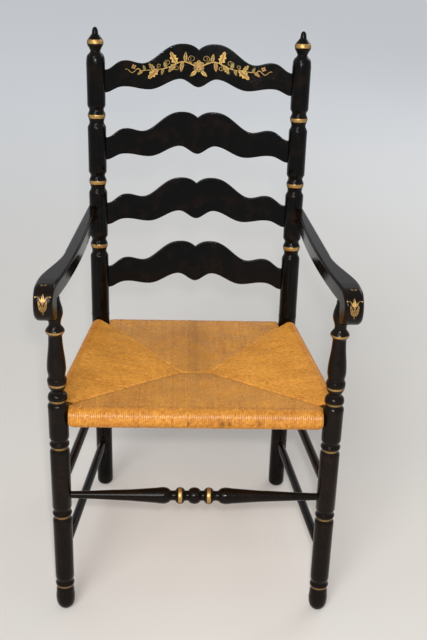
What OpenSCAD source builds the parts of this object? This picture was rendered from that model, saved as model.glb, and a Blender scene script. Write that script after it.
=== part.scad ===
// Ladder-back armchair with four scalloped slats, turned posts and a woven rush seat.
// Left is at minus X and right is at plus X, as seen by someone who faces the chair from the front.
// The frame is laid out square, then leaned back as a whole, and the feet are cut level on the floor.

/* [Frame] */
// Half the distance between the front post axes at the floor
front_half = 257; // [240:1:290]
// Half the distance between the rear post axes at the floor
rear_half = 204; // [190:1:230]
// Distance from the front post axes to the rear post axes
depth = 449; // [400:1:500]
// Outward lean of the front posts in degrees
front_splay = 0.4; // [0:0.1:1]
// Outward lean of the rear posts in degrees
rear_splay = 0.7; // [0:0.1:1.2]
// Lean of the whole frame to the back in degrees
frame_lean = 2; // [0:0.5:3]
// Height of the bend in the rear posts
knee_h = 455; // [450:1:470]
// Lean of the rear posts above the bend in degrees
back_rake = 6; // [3:0.5:9]

/* [Front posts] */
// Radius of the plain lengths of a front post
front_r = 19; // [17.5:0.1:20]
// Radius of a front post at the ankle
ankle_r = 18.9; // [16.5:0.1:20]
// Height of the gold line at the ankle
ankle_h = 56.5; // [54:0.5:70]
// Height of the gold line below the front stretcher
shin_h = 222; // [205:1:235]
// Height of the gold line below the seat
thigh_h = 377; // [365:1:385]
// Height of the ball above the seat
ball_h = 481; // [480:1:486]
// Height from the ball to the foot of the vase
vase_rise = 35; // [32:1:40]
// Length of the vase
vase_h = 88; // [80:1:100]
// Largest radius of the vase
vase_r = 17.9; // [16:0.1:19.5]
// Height from the cup under the arm to the arm
cup_drop = 69; // [64:1:74]
// Radius of the thin necks of the front post
neck_r = 13; // [10:0.1:14]
// Largest radius of the bulb under the arm
bulb_r = 16; // [14:0.1:18]

/* [Rear posts] */
// Radius of the rear posts above the seat
rear_r = 19.7; // [18.5:0.1:21]
// Radius of the rear feet
rear_foot_r = 18.2; // [16.5:0.1:19]
// Distance along the post from the bend to the lowest gold bead
bead_first = 161; // [156:1:166]
// Distance from one gold bead to the next
bead_pitch = 140.5; // [138:0.5:143]
// Depth of the grooves beside the gold beads
groove_cut = 4.2; // [2.5:0.1:5]
// Distance from the upper corners of the top slat to the middle of the finial ball
finial_rise = 55; // [50:0.5:64]
// Radius of the finial ball
finial_r = 17.4; // [14:0.1:19]
// Height of the finial tip above the middle of its ball
finial_tip = 32; // [28:1:40]

/* [Slats] */
// Distance along the post from the bend to the lowest slat
slat_first = 61.5; // [57:0.5:68]
// Distance from one slat to the next
slat_pitch = 142.5; // [140:0.5:144]
// Thickness of a slat
slat_t = 9; // [7:0.5:11]
// How far a slat bows to the back at its middle
slat_bow = 26; // [10:1:40]
// Height of a slat at its ends
slat_end_h = 47.5; // [42:0.5:52]
// Height of the two top lobes of a slat over its lower corners
slat_lobe_h = 101.9; // [95:0.1:110]
// How far a slat reaches into each post
slat_tenon = 11; // [8:0.5:13]

/* [Arms] */
// Height of the underside of an arm at the front post
arm_front_h = 686; // [682:1:692]
// Height of the underside of an arm at the rear post
arm_rear_h = 669; // [660:1:680]
// Thickness of an arm
arm_t = 33; // [30:0.5:36]
// Distance from the rear post axis to the inner face of an arm at its rear end
arm_rear_inset = 6.4; // [5:0.1:8]
// Width of an arm at its rear end
arm_rear_w = 13.5; // [12:0.1:16]
// Distance from the front post axis to the outer face of the scroll
arm_overhang = 31.8; // [24:0.1:36]
// Distance from the front post axis to the inner face of the arm
arm_inner = 13.2; // [11:0.1:14]
// Radius of the front scroll of an arm
scroll_r = 35; // [34:0.5:38]
// Distance from the front post axis forward to the middle of the scroll
scroll_y = 20; // [19:0.5:26]

/* [Rails and stretchers] */
// Height of the front seat rail
rail_front_h = 440; // [438:1:444]
// Height of the rear seat rail
rail_rear_h = 423; // [418:1:426]
// Height of a side seat rail at the front post
rail_side_front_h = 452; // [452:1:454]
// Height of a side seat rail at the rear post
rail_side_rear_h = 435; // [434:1:438]
// Radius of the front seat rail
rail_front_r = 16.6; // [14:0.1:17]
// Radius of the rear seat rail
rail_rear_r = 12; // [10:0.1:13]
// Radius of the side seat rails
rail_side_r = 11; // [9:0.1:12]
// Height of the front stretcher
front_stretcher_h = 266; // [262:1:268]
// Height of the upper side stretchers
side_upper_h = 283; // [282:1:290]
// Height of the lower side stretchers
side_lower_h = 132; // [110:1:150]
// Height of the rear stretcher
rear_stretcher_h = 210; // [170:1:250]
// Radius of the side and rear stretchers
stretcher_r = 9; // [8:0.1:10]
// Radius of the round tenons of the rails
rail_tenon_r = 7; // [6:0.1:7]
// Radius of the stretchers where they enter the posts
stretcher_tenon_r = 7; // [6:0.1:7.4]
// Radial clearance of the round joints
fit = 0.15; // [0.1:0.05:0.3]

/* [Rush seat] */
// Thickness of one layer of rush
rush_t = 4.6; // [4:0.1:5.5]
// Distance from the front post axes to the middle of the weave
weave_y = 180; // [150:1:240]
// Half the width of the bridge at the middle of the weave
bridge_half = 30; // [15:1:45]
// Height of the top of the weave at its middle
weave_top_h = 446; // [443:1:450]
// Height of the underside of the weave at its middle
weave_bottom_h = 424; // [420:1:427]

/* [Hidden] */
$fn = 96;

black = "#17120f";
rush = "#c8914a";
straw = "#b08a55";
bare_wood = "#7a5330";

// Distance from a post axis at which a tenon ends, clear of a tenon that enters from the other side
tenon_end = rail_tenon_r + 0.3;
// Distance from a post axis at which the visible part of a rail or stretcher starts
shoulder = rear_r + 0.8;
// Distance from a post axis at which a stretcher starts to swell, and at which it is full
entry = rear_r;
stretcher_swell = 60;
// Height of a front post from the floor to the arm
cup_h = arm_front_h - cup_drop;
// Length of the round tenon of a front post inside the arm
post_tenon_h = 22;
post_tenon_r = 6.8;
// Length and radius of the round tenon at the rear end of an arm
arm_tenon_l = 20;
arm_tenon_r = 4.8;
// Radius of the cut round the rear post at the rear end of an arm
scribe_r = rear_r + 0.3;
// How much narrower than the slat its tenon is, at the top and at the bottom
slat_shoulder = 4;
// Clear gap between separate faces that meet
seat_gap = 0.3;
// Radius of a slat peg and how far its head stands out of the post
peg_r = 2.4;
peg_proud = 0.3;
// Depth below the floor that the feet are cut through
floor_cut = 60;

// Sideways place of the post axes at a height in the square frame
function front_x(h) = front_half + h * tan(front_splay);
function rear_x(h) = rear_half + h * tan(rear_splay);
// Sideways place of a rear post axis at a distance along the leaned length above the bend
function raked_x(s) = rear_x(knee_h) + s * cos(back_rake) * sin(rear_splay);
// Points of the post axes in the square frame
function front_at(h) = [front_x(h), 0, h];
function rear_at(h) = [rear_x(h), depth, h];
function flip(p) = [-p[0], p[1], p[2]];

// Depth and height in the square frame become depth and height over the floor
function lean_y(y, z) = y * cos(frame_lean) + z * sin(frame_lean);
function lean_z(y, z) = z * cos(frame_lean) - y * sin(frame_lean);

// Each slat bends round an upright cylinder in front of it
half_span = raked_x(slat_first);
bow_r = (half_span * half_span + slat_bow * slat_bow) / (2 * slat_bow);
// Depth of the middle layer of a slat, or of a face at a distance from it, at a sideways place
function bow_y(x, out) = slat_bow - bow_r + sqrt(pow(bow_r + out, 2) - x * x);

// Distance along the post from the bend to the middle of the finial ball
top_slat_s = slat_first + 3 * slat_pitch;
finial_h = top_slat_s + slat_end_h + finial_rise;

// The arm scrolls reach farthest forward, and the finials or the bowed top slat farthest back
scroll_z = arm_front_h + arm_t - scroll_r;
front_reach = lean_y(-scroll_y, scroll_z) - scroll_r;
function back_y(y, s) = lean_y(
    depth + y * cos(back_rake) + s * sin(back_rake),
    knee_h + s * cos(back_rake) - y * sin(back_rake)
);
crown_drop = 42;
top_slat_reach = max([
    for (p = slat_half(raked_x(top_slat_s) - rear_r))
        back_y(bow_y(p[0], slat_t / 2), top_slat_s + p[1])
]);
back_reach = max(back_y(0, finial_h) + finial_r, back_y(0, finial_h - crown_drop) + rear_r, top_slat_reach);
centre_y = (front_reach + back_reach) / 2;

// A turned outline runs through stations of height, radius and steps to the next station.
// One step is a straight run, and more steps make a smooth swell.
function swell(a, b) = [
    for (i = [0:a[2] - 1])
        let (t = i / a[2])
            [a[1] + (b[1] - a[1]) * (1 - cos(180 * t)) / 2, a[0] + (b[0] - a[0]) * t]
];
function turned_points(st) = [
    for (i = [0:len(st) - 2]) each swell(st[i], st[i + 1]),
    [st[len(st) - 1][1], st[len(st) - 1][0]]
];

module turned(st) {
    outline = concat([[0, st[0][0]]], turned_points(st), [[0, st[len(st) - 1][0]]]);
    rotate_extrude() polygon(outline);
}

// A bead with its gold line below it and a groove above it, on a plain length of radius r
function banded(h, r) = [
    [h - 12, r, 4],
    [h - 5, r - 3, 4],
    [h + 4, r + 0.1, 4],
    [h + 11.5, r - 3.6, 4],
    [h + 19, r, 1]
];

// A gold bead between two grooves, on a rear post
function gold_bead(s) = [
    [s - 27, rear_r, 5],
    [s - 15.5, rear_r - groove_cut, 5],
    [s, rear_r - 0.9, 5],
    [s + 11, rear_r - groove_cut, 5],
    [s + 21, rear_r - 0.3, 1]
];

// Stations of a front post from the foot to the arm
front_stations = concat(
    [
        [-2, ankle_r - 11, 1],
        [0, ankle_r - 9.5, 1],
        [3, ankle_r - 6.2, 1],
        [8, ankle_r - 2.8, 1],
        [16, ankle_r - 0.6, 4],
        [27, ankle_r, 4],
        [ankle_h - 12, ankle_r - 1.2, 4],
        [ankle_h - 5, ankle_r - 2.4, 4],
        [ankle_h + 4, ankle_r - 0.2, 4],
        [ankle_h + 11.5, ankle_r - 3.3, 4],
        [ankle_h + 19, ankle_r - 0.3, 1]
    ],
    banded(shin_h, front_r),
    banded(thigh_h, front_r),
    [
        [ball_h - 30, front_r + 0.2, 3],
        [ball_h - 18, front_r + 0.6, 4],
        [ball_h - 9.5, front_r - 2.8, 4],
        [ball_h - 1, front_r - 0.2, 1],
        [ball_h + 3, front_r - 0.6, 1],
        [ball_h + 6.5, front_r - 1.9, 1],
        [ball_h + 9, front_r - 3.8, 1],
        [ball_h + 11, front_r - 6.4, 2],
        [ball_h + 14, neck_r - 0.6, 2],
        [ball_h + 17, neck_r + 0.4, 1],
        [ball_h + 20, neck_r + 2.4, 1],
        [ball_h + 24, neck_r + 4, 1],
        [ball_h + 29, front_r - 1.1, 3],
        [ball_h + vase_rise + 1, front_r - 0.4, 4],
        [ball_h + vase_rise + 9.5, front_r - 3.1, 4],
        [ball_h + vase_rise + 24, vase_r, 10],
        [ball_h + vase_rise + vase_h, neck_r, 1],
        [cup_h - 7.5, neck_r, 3],
        [cup_h - 4, 15.6, 3],
        [cup_h, 18, 5],
        [cup_h + 14, neck_r - 1.9, 6],
        [cup_h + 38, bulb_r, 8],
        [arm_front_h - 2.4, neck_r - 2.2, 1],
        [arm_front_h - 0.8, neck_r - 2.7, 1]
    ]
);

// Stations of a rear post above the bend, up to the tip of its finial
rear_stations = concat(
    [[3, rear_r - 0.3, 1]],
    gold_bead(bead_first),
    gold_bead(bead_first + bead_pitch),
    gold_bead(bead_first + 2 * bead_pitch),
    [
        [finial_h - crown_drop, rear_r + 0.2, 2],
        [finial_h - 34, rear_r - 0.4, 1],
        [finial_h - 30, rear_r - 0.9, 1],
        [finial_h - 26.5, rear_r - 2, 1],
        [finial_h - 23.6, rear_r - 4, 1],
        [finial_h - 21.2, rear_r - 7, 3],
        [finial_h - 17, 10.5, 4],
        [finial_h - 11, finial_r - 4.4, 1],
        [finial_h - 7, finial_r - 1.8, 1],
        [finial_h - 3.4, finial_r - 0.4, 1],
        [finial_h, finial_r, 1],
        [finial_h + 3.4, finial_r - 0.5, 1],
        [finial_h + 6.6, finial_r - 1.9, 1],
        [finial_h + 10, finial_r - 4.3, 1],
        [finial_h + 13, finial_r - 7, 4],
        [finial_h + 18, 6.8, 1],
        [finial_h + finial_tip - 8, 6.1, 1],
        [finial_h + finial_tip - 4, 5.2, 1],
        [finial_h + finial_tip - 1.4, 3.4, 1],
        [finial_h + finial_tip, 0.8, 1]
    ]
);

// Places the square frame over the floor, leaned back, with its middle over the origin
module leaned() {
    translate([0, -centre_y, 0])
        rotate([-frame_lean, 0, 0])
            children();
}

// Leaned as above and cut level on the floor
module standing() {
    difference() {
        leaned()
            children();
        translate([-2 * front_half, -2 * depth, -floor_cut])
            cube([4 * front_half, 4 * depth, floor_cut]);
    }
}

// Right-hand pieces are drawn as they are and left-hand pieces are their mirror image
module on_side(side) {
    if (side > 0)
        children();
    else
        mirror([1, 0, 0])
            children();
}

// Draws its children along the line from one point to another, starting at the first
module along(p, q) {
    d = q - p;
    translate(p)
        rotate([0, acos(d[2] / norm(d)), atan2(d[1], d[0])])
            children();
}

// A round hole for a tenon, from its end near the post axis p out through the post
module mortise(p, q, r) {
    along(p, q)
        translate([0, 0, tenon_end - 1])
            cylinder(r = r + fit, h = 2 * rear_r);
}

// Places things in the leaned plane of the rear posts above the bend
module in_back() {
    translate([0, depth, knee_h])
        rotate([-back_rake, 0, 0])
            children();
}

// Points along the edge of a slat from its middle out, rising and falling between crests and dips
function edge_points(st) = [
    for (i = [0:len(st) - 2])
        for (k = [0:st[i][2] - 1])
            let (t = k / st[i][2])
                [
                    st[i][0] + (st[i + 1][0] - st[i][0]) * t,
                    st[i][1] + (st[i + 1][1] - st[i][1]) * (1 - cos(180 * pow(t, st[i][3]))) / 2
                ]
];

// Half outline of a slat whose body ends at distance e from the middle
function slat_half(e) = let (
    k = e / 193,
    upper = [
        [0, slat_lobe_h - 12, 9, 0.5],
        [32 * k, slat_lobe_h, 9, 1.22],
        [118 * k, slat_end_h + 13, 6, 1],
        [151 * k, slat_end_h + 19, 6, 1.3],
        [e, slat_end_h, 1, 1]
    ],
    lower = [
        [0, slat_end_h - 35.7, 6, 0.95],
        [38 * k, slat_end_h - 18.8, 8, 0.95],
        [104 * k, slat_end_h - 41.4, 6, 1],
        [153 * k, slat_end_h - 35.2, 6, 1.3],
        [e, 0, 1, 1]
    ],
    top_run = edge_points(upper),
    low_run = edge_points(lower)
) concat(
    top_run,
    [[e, slat_end_h], [e, 0]],
    [for (i = [len(low_run) - 1:-1:0]) low_run[i]]
);

// Sheet of bent wood of a given thickness
module bent_sheet(t) {
    translate([0, slat_bow - bow_r, -10])
        difference() {
            cylinder(r = bow_r + t / 2, h = slat_lobe_h + 20, $fn = 360);
            translate([0, 0, -1])
                cylinder(r = bow_r - t / 2, h = slat_lobe_h + 22, $fn = 360);
        }
}

// Tenon blocks at both ends of a slat, grown by g for the mortises
module slat_tenons(s, g) {
    inner = raked_x(s) - rear_r - 8;
    outer = raked_x(s) - rear_r + slat_tenon;
    for (side = [-1, 1])
        scale([side, 1, 1])
            translate([inner, -2 * rear_r, slat_shoulder - g])
                cube([outer - inner + g, 4 * rear_r, slat_end_h - 2 * slat_shoulder + 2 * g]);
}

module slat_body(s) {
    e = raked_x(s) - rear_r - seat_gap;
    pts = slat_half(e);
    for (side = [-1, 1])
        scale([side, 1, 1])
            rotate([90, 0, 0])
                linear_extrude(height = 4 * (slat_bow + slat_t), center = true)
                    polygon(pts);
}

// One slat in the plane of the back, s is the distance from the bend to its lower corners
module slat(s) {
    leaned()
        in_back()
            translate([0, 0, s])
                intersection() {
                    bent_sheet(slat_t);
                    union() {
                        slat_body(s);
                        slat_tenons(s, 0);
                    }
                }
}

module slat_mortises(s) {
    in_back()
        translate([0, 0, s])
            intersection() {
                bent_sheet(slat_t + 2 * fit);
                slat_tenons(s, fit);
            }
}

// Peg through the rear post and the tenon of the top slat, from the back
module slat_peg(grow) {
    s = top_slat_s;
    off = rear_r - slat_tenon / 2;
    in_back()
        translate([raked_x(s) - off, 0, s + slat_end_h / 2])
            rotate([-90, 0, 0])
                translate([0, 0, -slat_t])
                    cylinder(r = peg_r + grow, h = slat_t + sqrt(rear_r * rear_r - off * off) + peg_proud);
}

// Middle of the rear tenon of an arm, where it leaves the arm
arm_tenon_x = rear_x(arm_rear_h) + arm_rear_inset + arm_rear_w / 2 - 1.5;
arm_tenon_z = arm_rear_h + arm_t / 2;
arm_rear_y = depth + (arm_tenon_z - knee_h) * tan(back_rake);
arm_tenon_y = arm_rear_y - sqrt(rear_r * rear_r - pow(arm_tenon_x - rear_x(arm_tenon_z), 2));

module arm_tenon(grow) {
    translate([arm_tenon_x, arm_tenon_y - 12, arm_tenon_z])
        rotate([-90, 0, 0])
            cylinder(r = arm_tenon_r + grow, h = arm_tenon_l + 12 + grow);
}

// Peg across the rear post and the rear tenon of an arm, from the outside
module arm_peg(grow) {
    translate([rear_x(arm_tenon_z), arm_tenon_y + 11, arm_tenon_z])
        rotate([0, 90, 0])
            translate([0, 0, arm_tenon_x - rear_x(arm_tenon_z) - arm_tenon_r - 1])
                cylinder(r = 1.8 + grow, h = 13);
}

// Solid of one rear post with its finial, before the joints are cut
module rear_post_blank() {
    // A ball rounds the bend, and both lengths end inside it
    bend_gap = 3;
    // The lean lifts the rear feet in the square frame
    rear_toe = depth * tan(frame_lean);
    leg = knee_h / cos(rear_splay);
    translate([rear_half, depth, 0])
        rotate([0, rear_splay, 0])
            turned([
                [rear_toe - 3, rear_foot_r - 8, 1],
                [rear_toe, rear_foot_r - 6.4, 1],
                [rear_toe + 2, rear_foot_r - 3.7, 1],
                [rear_toe + 5, rear_foot_r - 1.4, 1],
                [rear_toe + 9, rear_foot_r, 1],
                [leg * 0.8, rear_r - 0.4, 1],
                [leg - bend_gap, rear_r - 0.3, 1]
            ]);
    translate(rear_at(knee_h))
        sphere(r = rear_r + 0.2);
    translate(rear_at(knee_h))
        rotate([-back_rake, rear_splay, 0])
            turned(rear_stations);
}

module rear_post(side) {
    color(black)
        on_side(side)
            standing()
                difference() {
                    rear_post_blank();
                    for (i = [0:3])
                        slat_mortises(slat_first + i * slat_pitch);
                    slat_peg(fit);
                    arm_tenon(fit);
                    arm_peg(fit);
                    mortise(rear_at(rail_rear_h), flip(rear_at(rail_rear_h)), rail_tenon_r);
                    mortise(rear_at(rail_side_rear_h), front_at(rail_side_front_h), rail_tenon_r);
                    for (h = [side_upper_h, side_lower_h])
                        mortise(rear_at(h), front_at(h), stretcher_tenon_r);
                    mortise(rear_at(rear_stretcher_h), flip(rear_at(rear_stretcher_h)), stretcher_tenon_r);
                }
}

module rear_post_left() {
    rear_post(-1);
}

module rear_post_right() {
    rear_post(1);
}

// The front post stands on the floor and ends in a round tenon inside the arm
module post_tenon(grow) {
    translate([0, 0, arm_front_h - 6])
        cylinder(r = post_tenon_r + grow, h = post_tenon_h + 6 + grow);
}

module front_post(side) {
    color(black)
        on_side(side)
            standing()
                difference() {
                    translate([front_half, 0, 0])
                        rotate([0, front_splay, 0]) {
                            turned(front_stations);
                            post_tenon(0);
                        }
                    mortise(front_at(rail_front_h), flip(front_at(rail_front_h)), rail_tenon_r);
                    mortise(front_at(rail_side_front_h), rear_at(rail_side_rear_h), rail_tenon_r);
                    for (h = [side_upper_h, side_lower_h])
                        mortise(front_at(h), rear_at(h), stretcher_tenon_r);
                    mortise(
                        front_at(front_stretcher_h),
                        flip(front_at(front_stretcher_h)),
                        stretcher_tenon_r
                    );
                }
}

module front_post_left() {
    front_post(-1);
}

module front_post_right() {
    front_post(1);
}

// Plan of an arm: the inner face flares out along a power curve and the outer face along an S
arm_front_y = -scroll_y - scroll_r;
arm_end_y = arm_rear_y + rear_r;
arm_run = arm_end_y - arm_front_y;
inner_rear = rear_x(arm_rear_h) + arm_rear_inset;
outer_rear = inner_rear + arm_rear_w;
inner_front = front_x(arm_front_h) - arm_inner + 11;
outer_front = front_x(arm_front_h) + arm_overhang;
bulge_start = 165;
bulge_end = -30;
outer_lean = 0.0716;

function smooth(t) = let (u = min(1, max(0, t))) u * u * (3 - 2 * u);
function arm_inner_x(y) = inner_rear
    + (inner_front - inner_rear) * pow(min(1, (arm_end_y - y) / arm_run), 2.45);
function arm_outer_x(y) = let (
    y_rear = max(y, bulge_start),
    x_start = outer_rear + (arm_end_y - bulge_start) * outer_lean,
    x_rear = outer_rear + (arm_end_y - y_rear) * outer_lean
) x_rear + (outer_front - x_start) * smooth((bulge_start - y) / (bulge_start - bulge_end));

arm_steps = 44;
arm_plan = concat(
    [
        for (i = [0:arm_steps])
            let (y = arm_end_y - arm_run * i / arm_steps) [arm_inner_x(y), y]
    ],
    [
        for (i = [arm_steps:-1:0])
            let (y = arm_end_y - arm_run * i / arm_steps) [arm_outer_x(y), y]
    ]
);

// Side view of an arm: a slab that rises to the front and rolls over into the scroll
module arm_side() {
    slope = (arm_front_h - arm_rear_h) / arm_rear_y;
    scroll_back = -bulb_r - 1.5;
    polygon([
        [-scroll_y, arm_front_h + arm_t],
        [scroll_back, arm_front_h],
        [0, arm_front_h],
        [arm_end_y, arm_rear_h - slope * rear_r],
        [arm_end_y, arm_rear_h + arm_t - slope * rear_r],
        [0, arm_front_h + arm_t]
    ]);
    difference() {
        translate([-scroll_y, scroll_z])
            circle(r = scroll_r);
        translate([scroll_back, scroll_z - 2 * scroll_r])
            square([3 * scroll_r, 2 * scroll_r + arm_front_h - scroll_z]);
    }
}

module arm(side) {
    color(black)
        on_side(side)
            leaned()
                difference() {
                    union() {
                        difference() {
                            intersection() {
                                linear_extrude(height = 2 * arm_front_h)
                                    polygon(arm_plan);
                                rotate([90, 0, 90])
                                    linear_extrude(height = 2 * front_half)
                                        arm_side();
                            }
                            translate(rear_at(knee_h))
                                rotate([-back_rake, rear_splay, 0])
                                    cylinder(r = scribe_r, h = 2 * (arm_front_h - knee_h));
                            translate([0, arm_rear_y, 0])
                                cube([4 * front_half, depth, 2 * arm_front_h]);
                        }
                        arm_tenon(0);
                    }
                    arm_peg(fit);
                    translate([front_half, 0, 0])
                        rotate([0, front_splay, 0])
                            post_tenon(fit);
                }
}

module arm_left() {
    arm(-1);
}

module arm_right() {
    arm(1);
}

module slat_top() {
    color(black)
        difference() {
            slat(top_slat_s);
            for (side = [-1, 1])
                on_side(side)
                    leaned()
                        slat_peg(fit);
        }
}

module slat_upper() {
    color(black)
        slat(slat_first + 2 * slat_pitch);
}

module slat_lower() {
    color(black)
        slat(slat_first + slat_pitch);
}

module slat_bottom() {
    color(black)
        slat(slat_first);
}

// A round rail between two posts with a tenon at each end
module rail(p, q, r, tenon_r) {
    l = norm(q - p);
    leaned()
        along(p, q)
            turned([
                [tenon_end, tenon_r, 1],
                [shoulder, tenon_r, 1],
                [shoulder + 0.01, min(r, tenon_r + 1.4), 4],
                [shoulder + 14, r, 1],
                [l - shoulder - 14, r, 4],
                [l - shoulder - 0.01, min(r, tenon_r + 1.4), 1],
                [l - shoulder, tenon_r, 1],
                [l - tenon_end, tenon_r, 1]
            ]);
}

module seat_rail_front() {
    color(bare_wood)
        rail(flip(front_at(rail_front_h)), front_at(rail_front_h), rail_front_r, rail_tenon_r);
}

module seat_rail_back() {
    color(bare_wood)
        rail(flip(rear_at(rail_rear_h)), rear_at(rail_rear_h), rail_rear_r, rail_tenon_r);
}

module seat_rail_side(side) {
    color(bare_wood)
        on_side(side)
            rail(front_at(rail_side_front_h), rear_at(rail_side_rear_h), rail_side_r, rail_tenon_r);
}

module seat_rail_left() {
    seat_rail_side(-1);
}

module seat_rail_right() {
    seat_rail_side(1);
}

// A plain stretcher whose round ends go into the posts and swell gently to its full radius
module stretcher(p, q) {
    l = norm(q - p);
    leaned()
        along(p, q)
            turned([
                [tenon_end, stretcher_tenon_r, 1],
                [entry, stretcher_tenon_r, 5],
                [stretcher_swell, stretcher_r, 1],
                [l - stretcher_swell, stretcher_r, 5],
                [l - entry, stretcher_tenon_r, 1],
                [l - tenon_end, stretcher_tenon_r, 1]
            ]);
}

module side_stretcher(side, h) {
    color(black)
        on_side(side)
            stretcher(front_at(h), rear_at(h));
}

module side_stretcher_upper_left() {
    side_stretcher(-1, side_upper_h);
}

module side_stretcher_upper_right() {
    side_stretcher(1, side_upper_h);
}

module side_stretcher_lower_left() {
    side_stretcher(-1, side_lower_h);
}

module side_stretcher_lower_right() {
    side_stretcher(1, side_lower_h);
}

module rear_stretcher() {
    color(black)
        stretcher(flip(rear_at(rear_stretcher_h)), rear_at(rear_stretcher_h));
}

// Stations of the front stretcher from its end to its middle, by distance from the middle
reach = front_x(front_stretcher_h);
ring_r = 16.4;
ring_neck = 9.8;
ring_pitch = 28;
bead_angle = 75;
middle_half = 2.2 * ring_pitch;
function taper(k) = entry + k * (reach - middle_half - entry);
// Part of a round bead between two angles from its crest, at a distance from the middle
function round_bead(d, half, from, to) = [
    for (a = [from:15:to])
        [
            reach - d + half * sin(a) / sin(75),
            ring_neck + 0.6 + (ring_r - ring_neck - 0.6) * (cos(a) - cos(75)) / (1 - cos(75)),
            1
        ]
];
half_turning = concat(
    [
        [tenon_end, stretcher_tenon_r, 1],
        [taper(0), stretcher_tenon_r, 1],
        [taper(0.25), stretcher_tenon_r + 1.4, 1],
        [taper(0.65), 11.4, 1],
        [taper(0.9), 14.7, 3]
    ],
    round_bead(middle_half, 0.52 * ring_pitch, 0, bead_angle),
    [[reach - 1.5 * ring_pitch, ring_neck - 0.3, 1]],
    round_bead(ring_pitch, 0.33 * ring_pitch, -bead_angle, bead_angle),
    [[reach - 0.55 * ring_pitch, ring_neck, 1]],
    round_bead(0, 0.42 * ring_pitch, -bead_angle, 0)
);
other_half = [
    for (i = [len(half_turning) - 2:-1:0])
        [2 * reach - half_turning[i][0], half_turning[i][1], i > 0 ? half_turning[i - 1][2] : 1]
];

module front_stretcher() {
    color(black)
        leaned()
            along(flip(front_at(front_stretcher_h)), front_at(front_stretcher_h))
                turned(concat(half_turning, other_half));
}

// Rolls of rush round the four rails
roll_front_r = rail_front_r + rush_t;
roll_rear_r = rail_rear_r + rush_t;
roll_side_r = rail_side_r + rush_t;

module along_rail(p, q, r) {
    along(p, q)
        cylinder(r = r, h = norm(q - p));
}

module four_rails(front, rear, sides) {
    along_rail(flip(front_at(rail_front_h)), front_at(rail_front_h), front);
    along_rail(flip(rear_at(rail_rear_h)), rear_at(rail_rear_h), rear);
    for (side = [-1, 1])
        on_side(side)
            along_rail(front_at(rail_side_front_h), rear_at(rail_side_rear_h), sides);
}

// The woven panel has four gores that meet at a short bridge, drawn in by an inset on all faces
module gore_panel(inset) {
    front_top = rail_front_h + roll_front_r - 0.6 - inset;
    rear_top = rail_rear_h + roll_rear_r - 0.6 - inset;
    front_low = rail_front_h - roll_front_r + 0.6 + inset;
    rear_low = rail_rear_h - roll_rear_r + 0.6 + inset;
    fx = front_x(rail_front_h) - 2;
    rx = rear_x(rail_rear_h) - 2;
    mid_top = weave_top_h - inset;
    mid_low = weave_bottom_h + inset;
    polyhedron(
        points = [
            [-fx, 0, front_top], [fx, 0, front_top], [rx, depth, rear_top], [-rx, depth, rear_top],
            [-bridge_half, weave_y, mid_top], [bridge_half, weave_y, mid_top],
            [-fx, 0, front_low], [fx, 0, front_low], [rx, depth, rear_low], [-rx, depth, rear_low],
            [-bridge_half, weave_y, mid_low], [bridge_half, weave_y, mid_low]
        ],
        faces = [
            [0, 4, 5, 1], [1, 5, 2], [2, 5, 4, 3], [3, 4, 0],
            [6, 7, 11, 10], [7, 8, 11], [8, 9, 10, 11], [9, 6, 10],
            [0, 1, 7, 6], [1, 2, 8, 7], [2, 3, 9, 8], [3, 0, 6, 9]
        ]
    );
}

// The rolls stop square against the posts
module corner_notches() {
    front_notch = front_r + 1.2;
    rear_notch = rear_r + seat_gap;
    for (side = [-1, 1])
        on_side(side) {
            translate([front_x(rail_front_h) - front_notch, front_notch - depth, 0])
                cube([depth, depth, cup_h]);
            translate([rear_x(rail_rear_h) - rear_notch, depth - rear_notch, 0])
                cube([depth, depth, cup_h]);
        }
}

module rush_seat() {
    color(rush)
        leaned()
            difference() {
                union() {
                    four_rails(roll_front_r, roll_rear_r, roll_side_r);
                    gore_panel(0);
                }
                four_rails(rail_front_r + seat_gap, rail_rear_r + seat_gap, rail_side_r + seat_gap);
                gore_panel(rush_t);
                corner_notches();
            }
}

// Plan of the stuffing inside one gore, kept clear of the rails and of its neighbours
stuff_gap = 2;
// How far the stuffing stays back from the folds of the weave and from the corners
fold_gap = 12;
corner_gap = 50;
front_line = rail_front_r + stuff_gap;
rear_line = depth - rail_rear_r - stuff_gap;
side_line = rail_side_r + stuff_gap;

function side_x(y) = front_x(rail_front_h) + (rear_x(rail_rear_h) - front_x(rail_front_h)) * y / depth;
// Sideways place of the fold between the side gore and the front or rear gore
function fold_front_x(y) = bridge_half + (side_x(0) - bridge_half) * (1 - y / weave_y);
function fold_rear_x(y) = bridge_half
    + (side_x(depth) - bridge_half) * (y - weave_y) / (depth - weave_y);

module stuffing(plan) {
    color(straw)
        leaned()
            intersection() {
                gore_panel(rush_t + seat_gap);
                linear_extrude(height = knee_h + 50)
                    polygon(plan);
            }
}

module stuffing_front() {
    stuffing([
        [2.5 * fold_gap - fold_front_x(front_line), front_line],
        [fold_front_x(front_line) - 2.5 * fold_gap, front_line],
        [bridge_half, weave_y - fold_gap], [-bridge_half, weave_y - fold_gap]
    ]);
}

module stuffing_back() {
    stuffing([
        [2.5 * fold_gap - fold_rear_x(rear_line), rear_line],
        [fold_rear_x(rear_line) - 2.5 * fold_gap, rear_line],
        [bridge_half, weave_y + fold_gap], [-bridge_half, weave_y + fold_gap]
    ]);
}

module stuffing_side(side) {
    on_side(side)
        stuffing([
            [side_x(corner_gap) - side_line, corner_gap],
            [side_x(depth - corner_gap) - side_line, depth - corner_gap],
            [bridge_half + 2 * fold_gap, weave_y + 4], [bridge_half + 2 * fold_gap, weave_y - 4]
        ]);
}

module stuffing_left() {
    stuffing_side(-1);
}

module stuffing_right() {
    stuffing_side(1);
}

module top_slat_pegs() {
    color(black)
        for (side = [-1, 1])
            on_side(side)
                leaned()
                    slat_peg(0);
}

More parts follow.
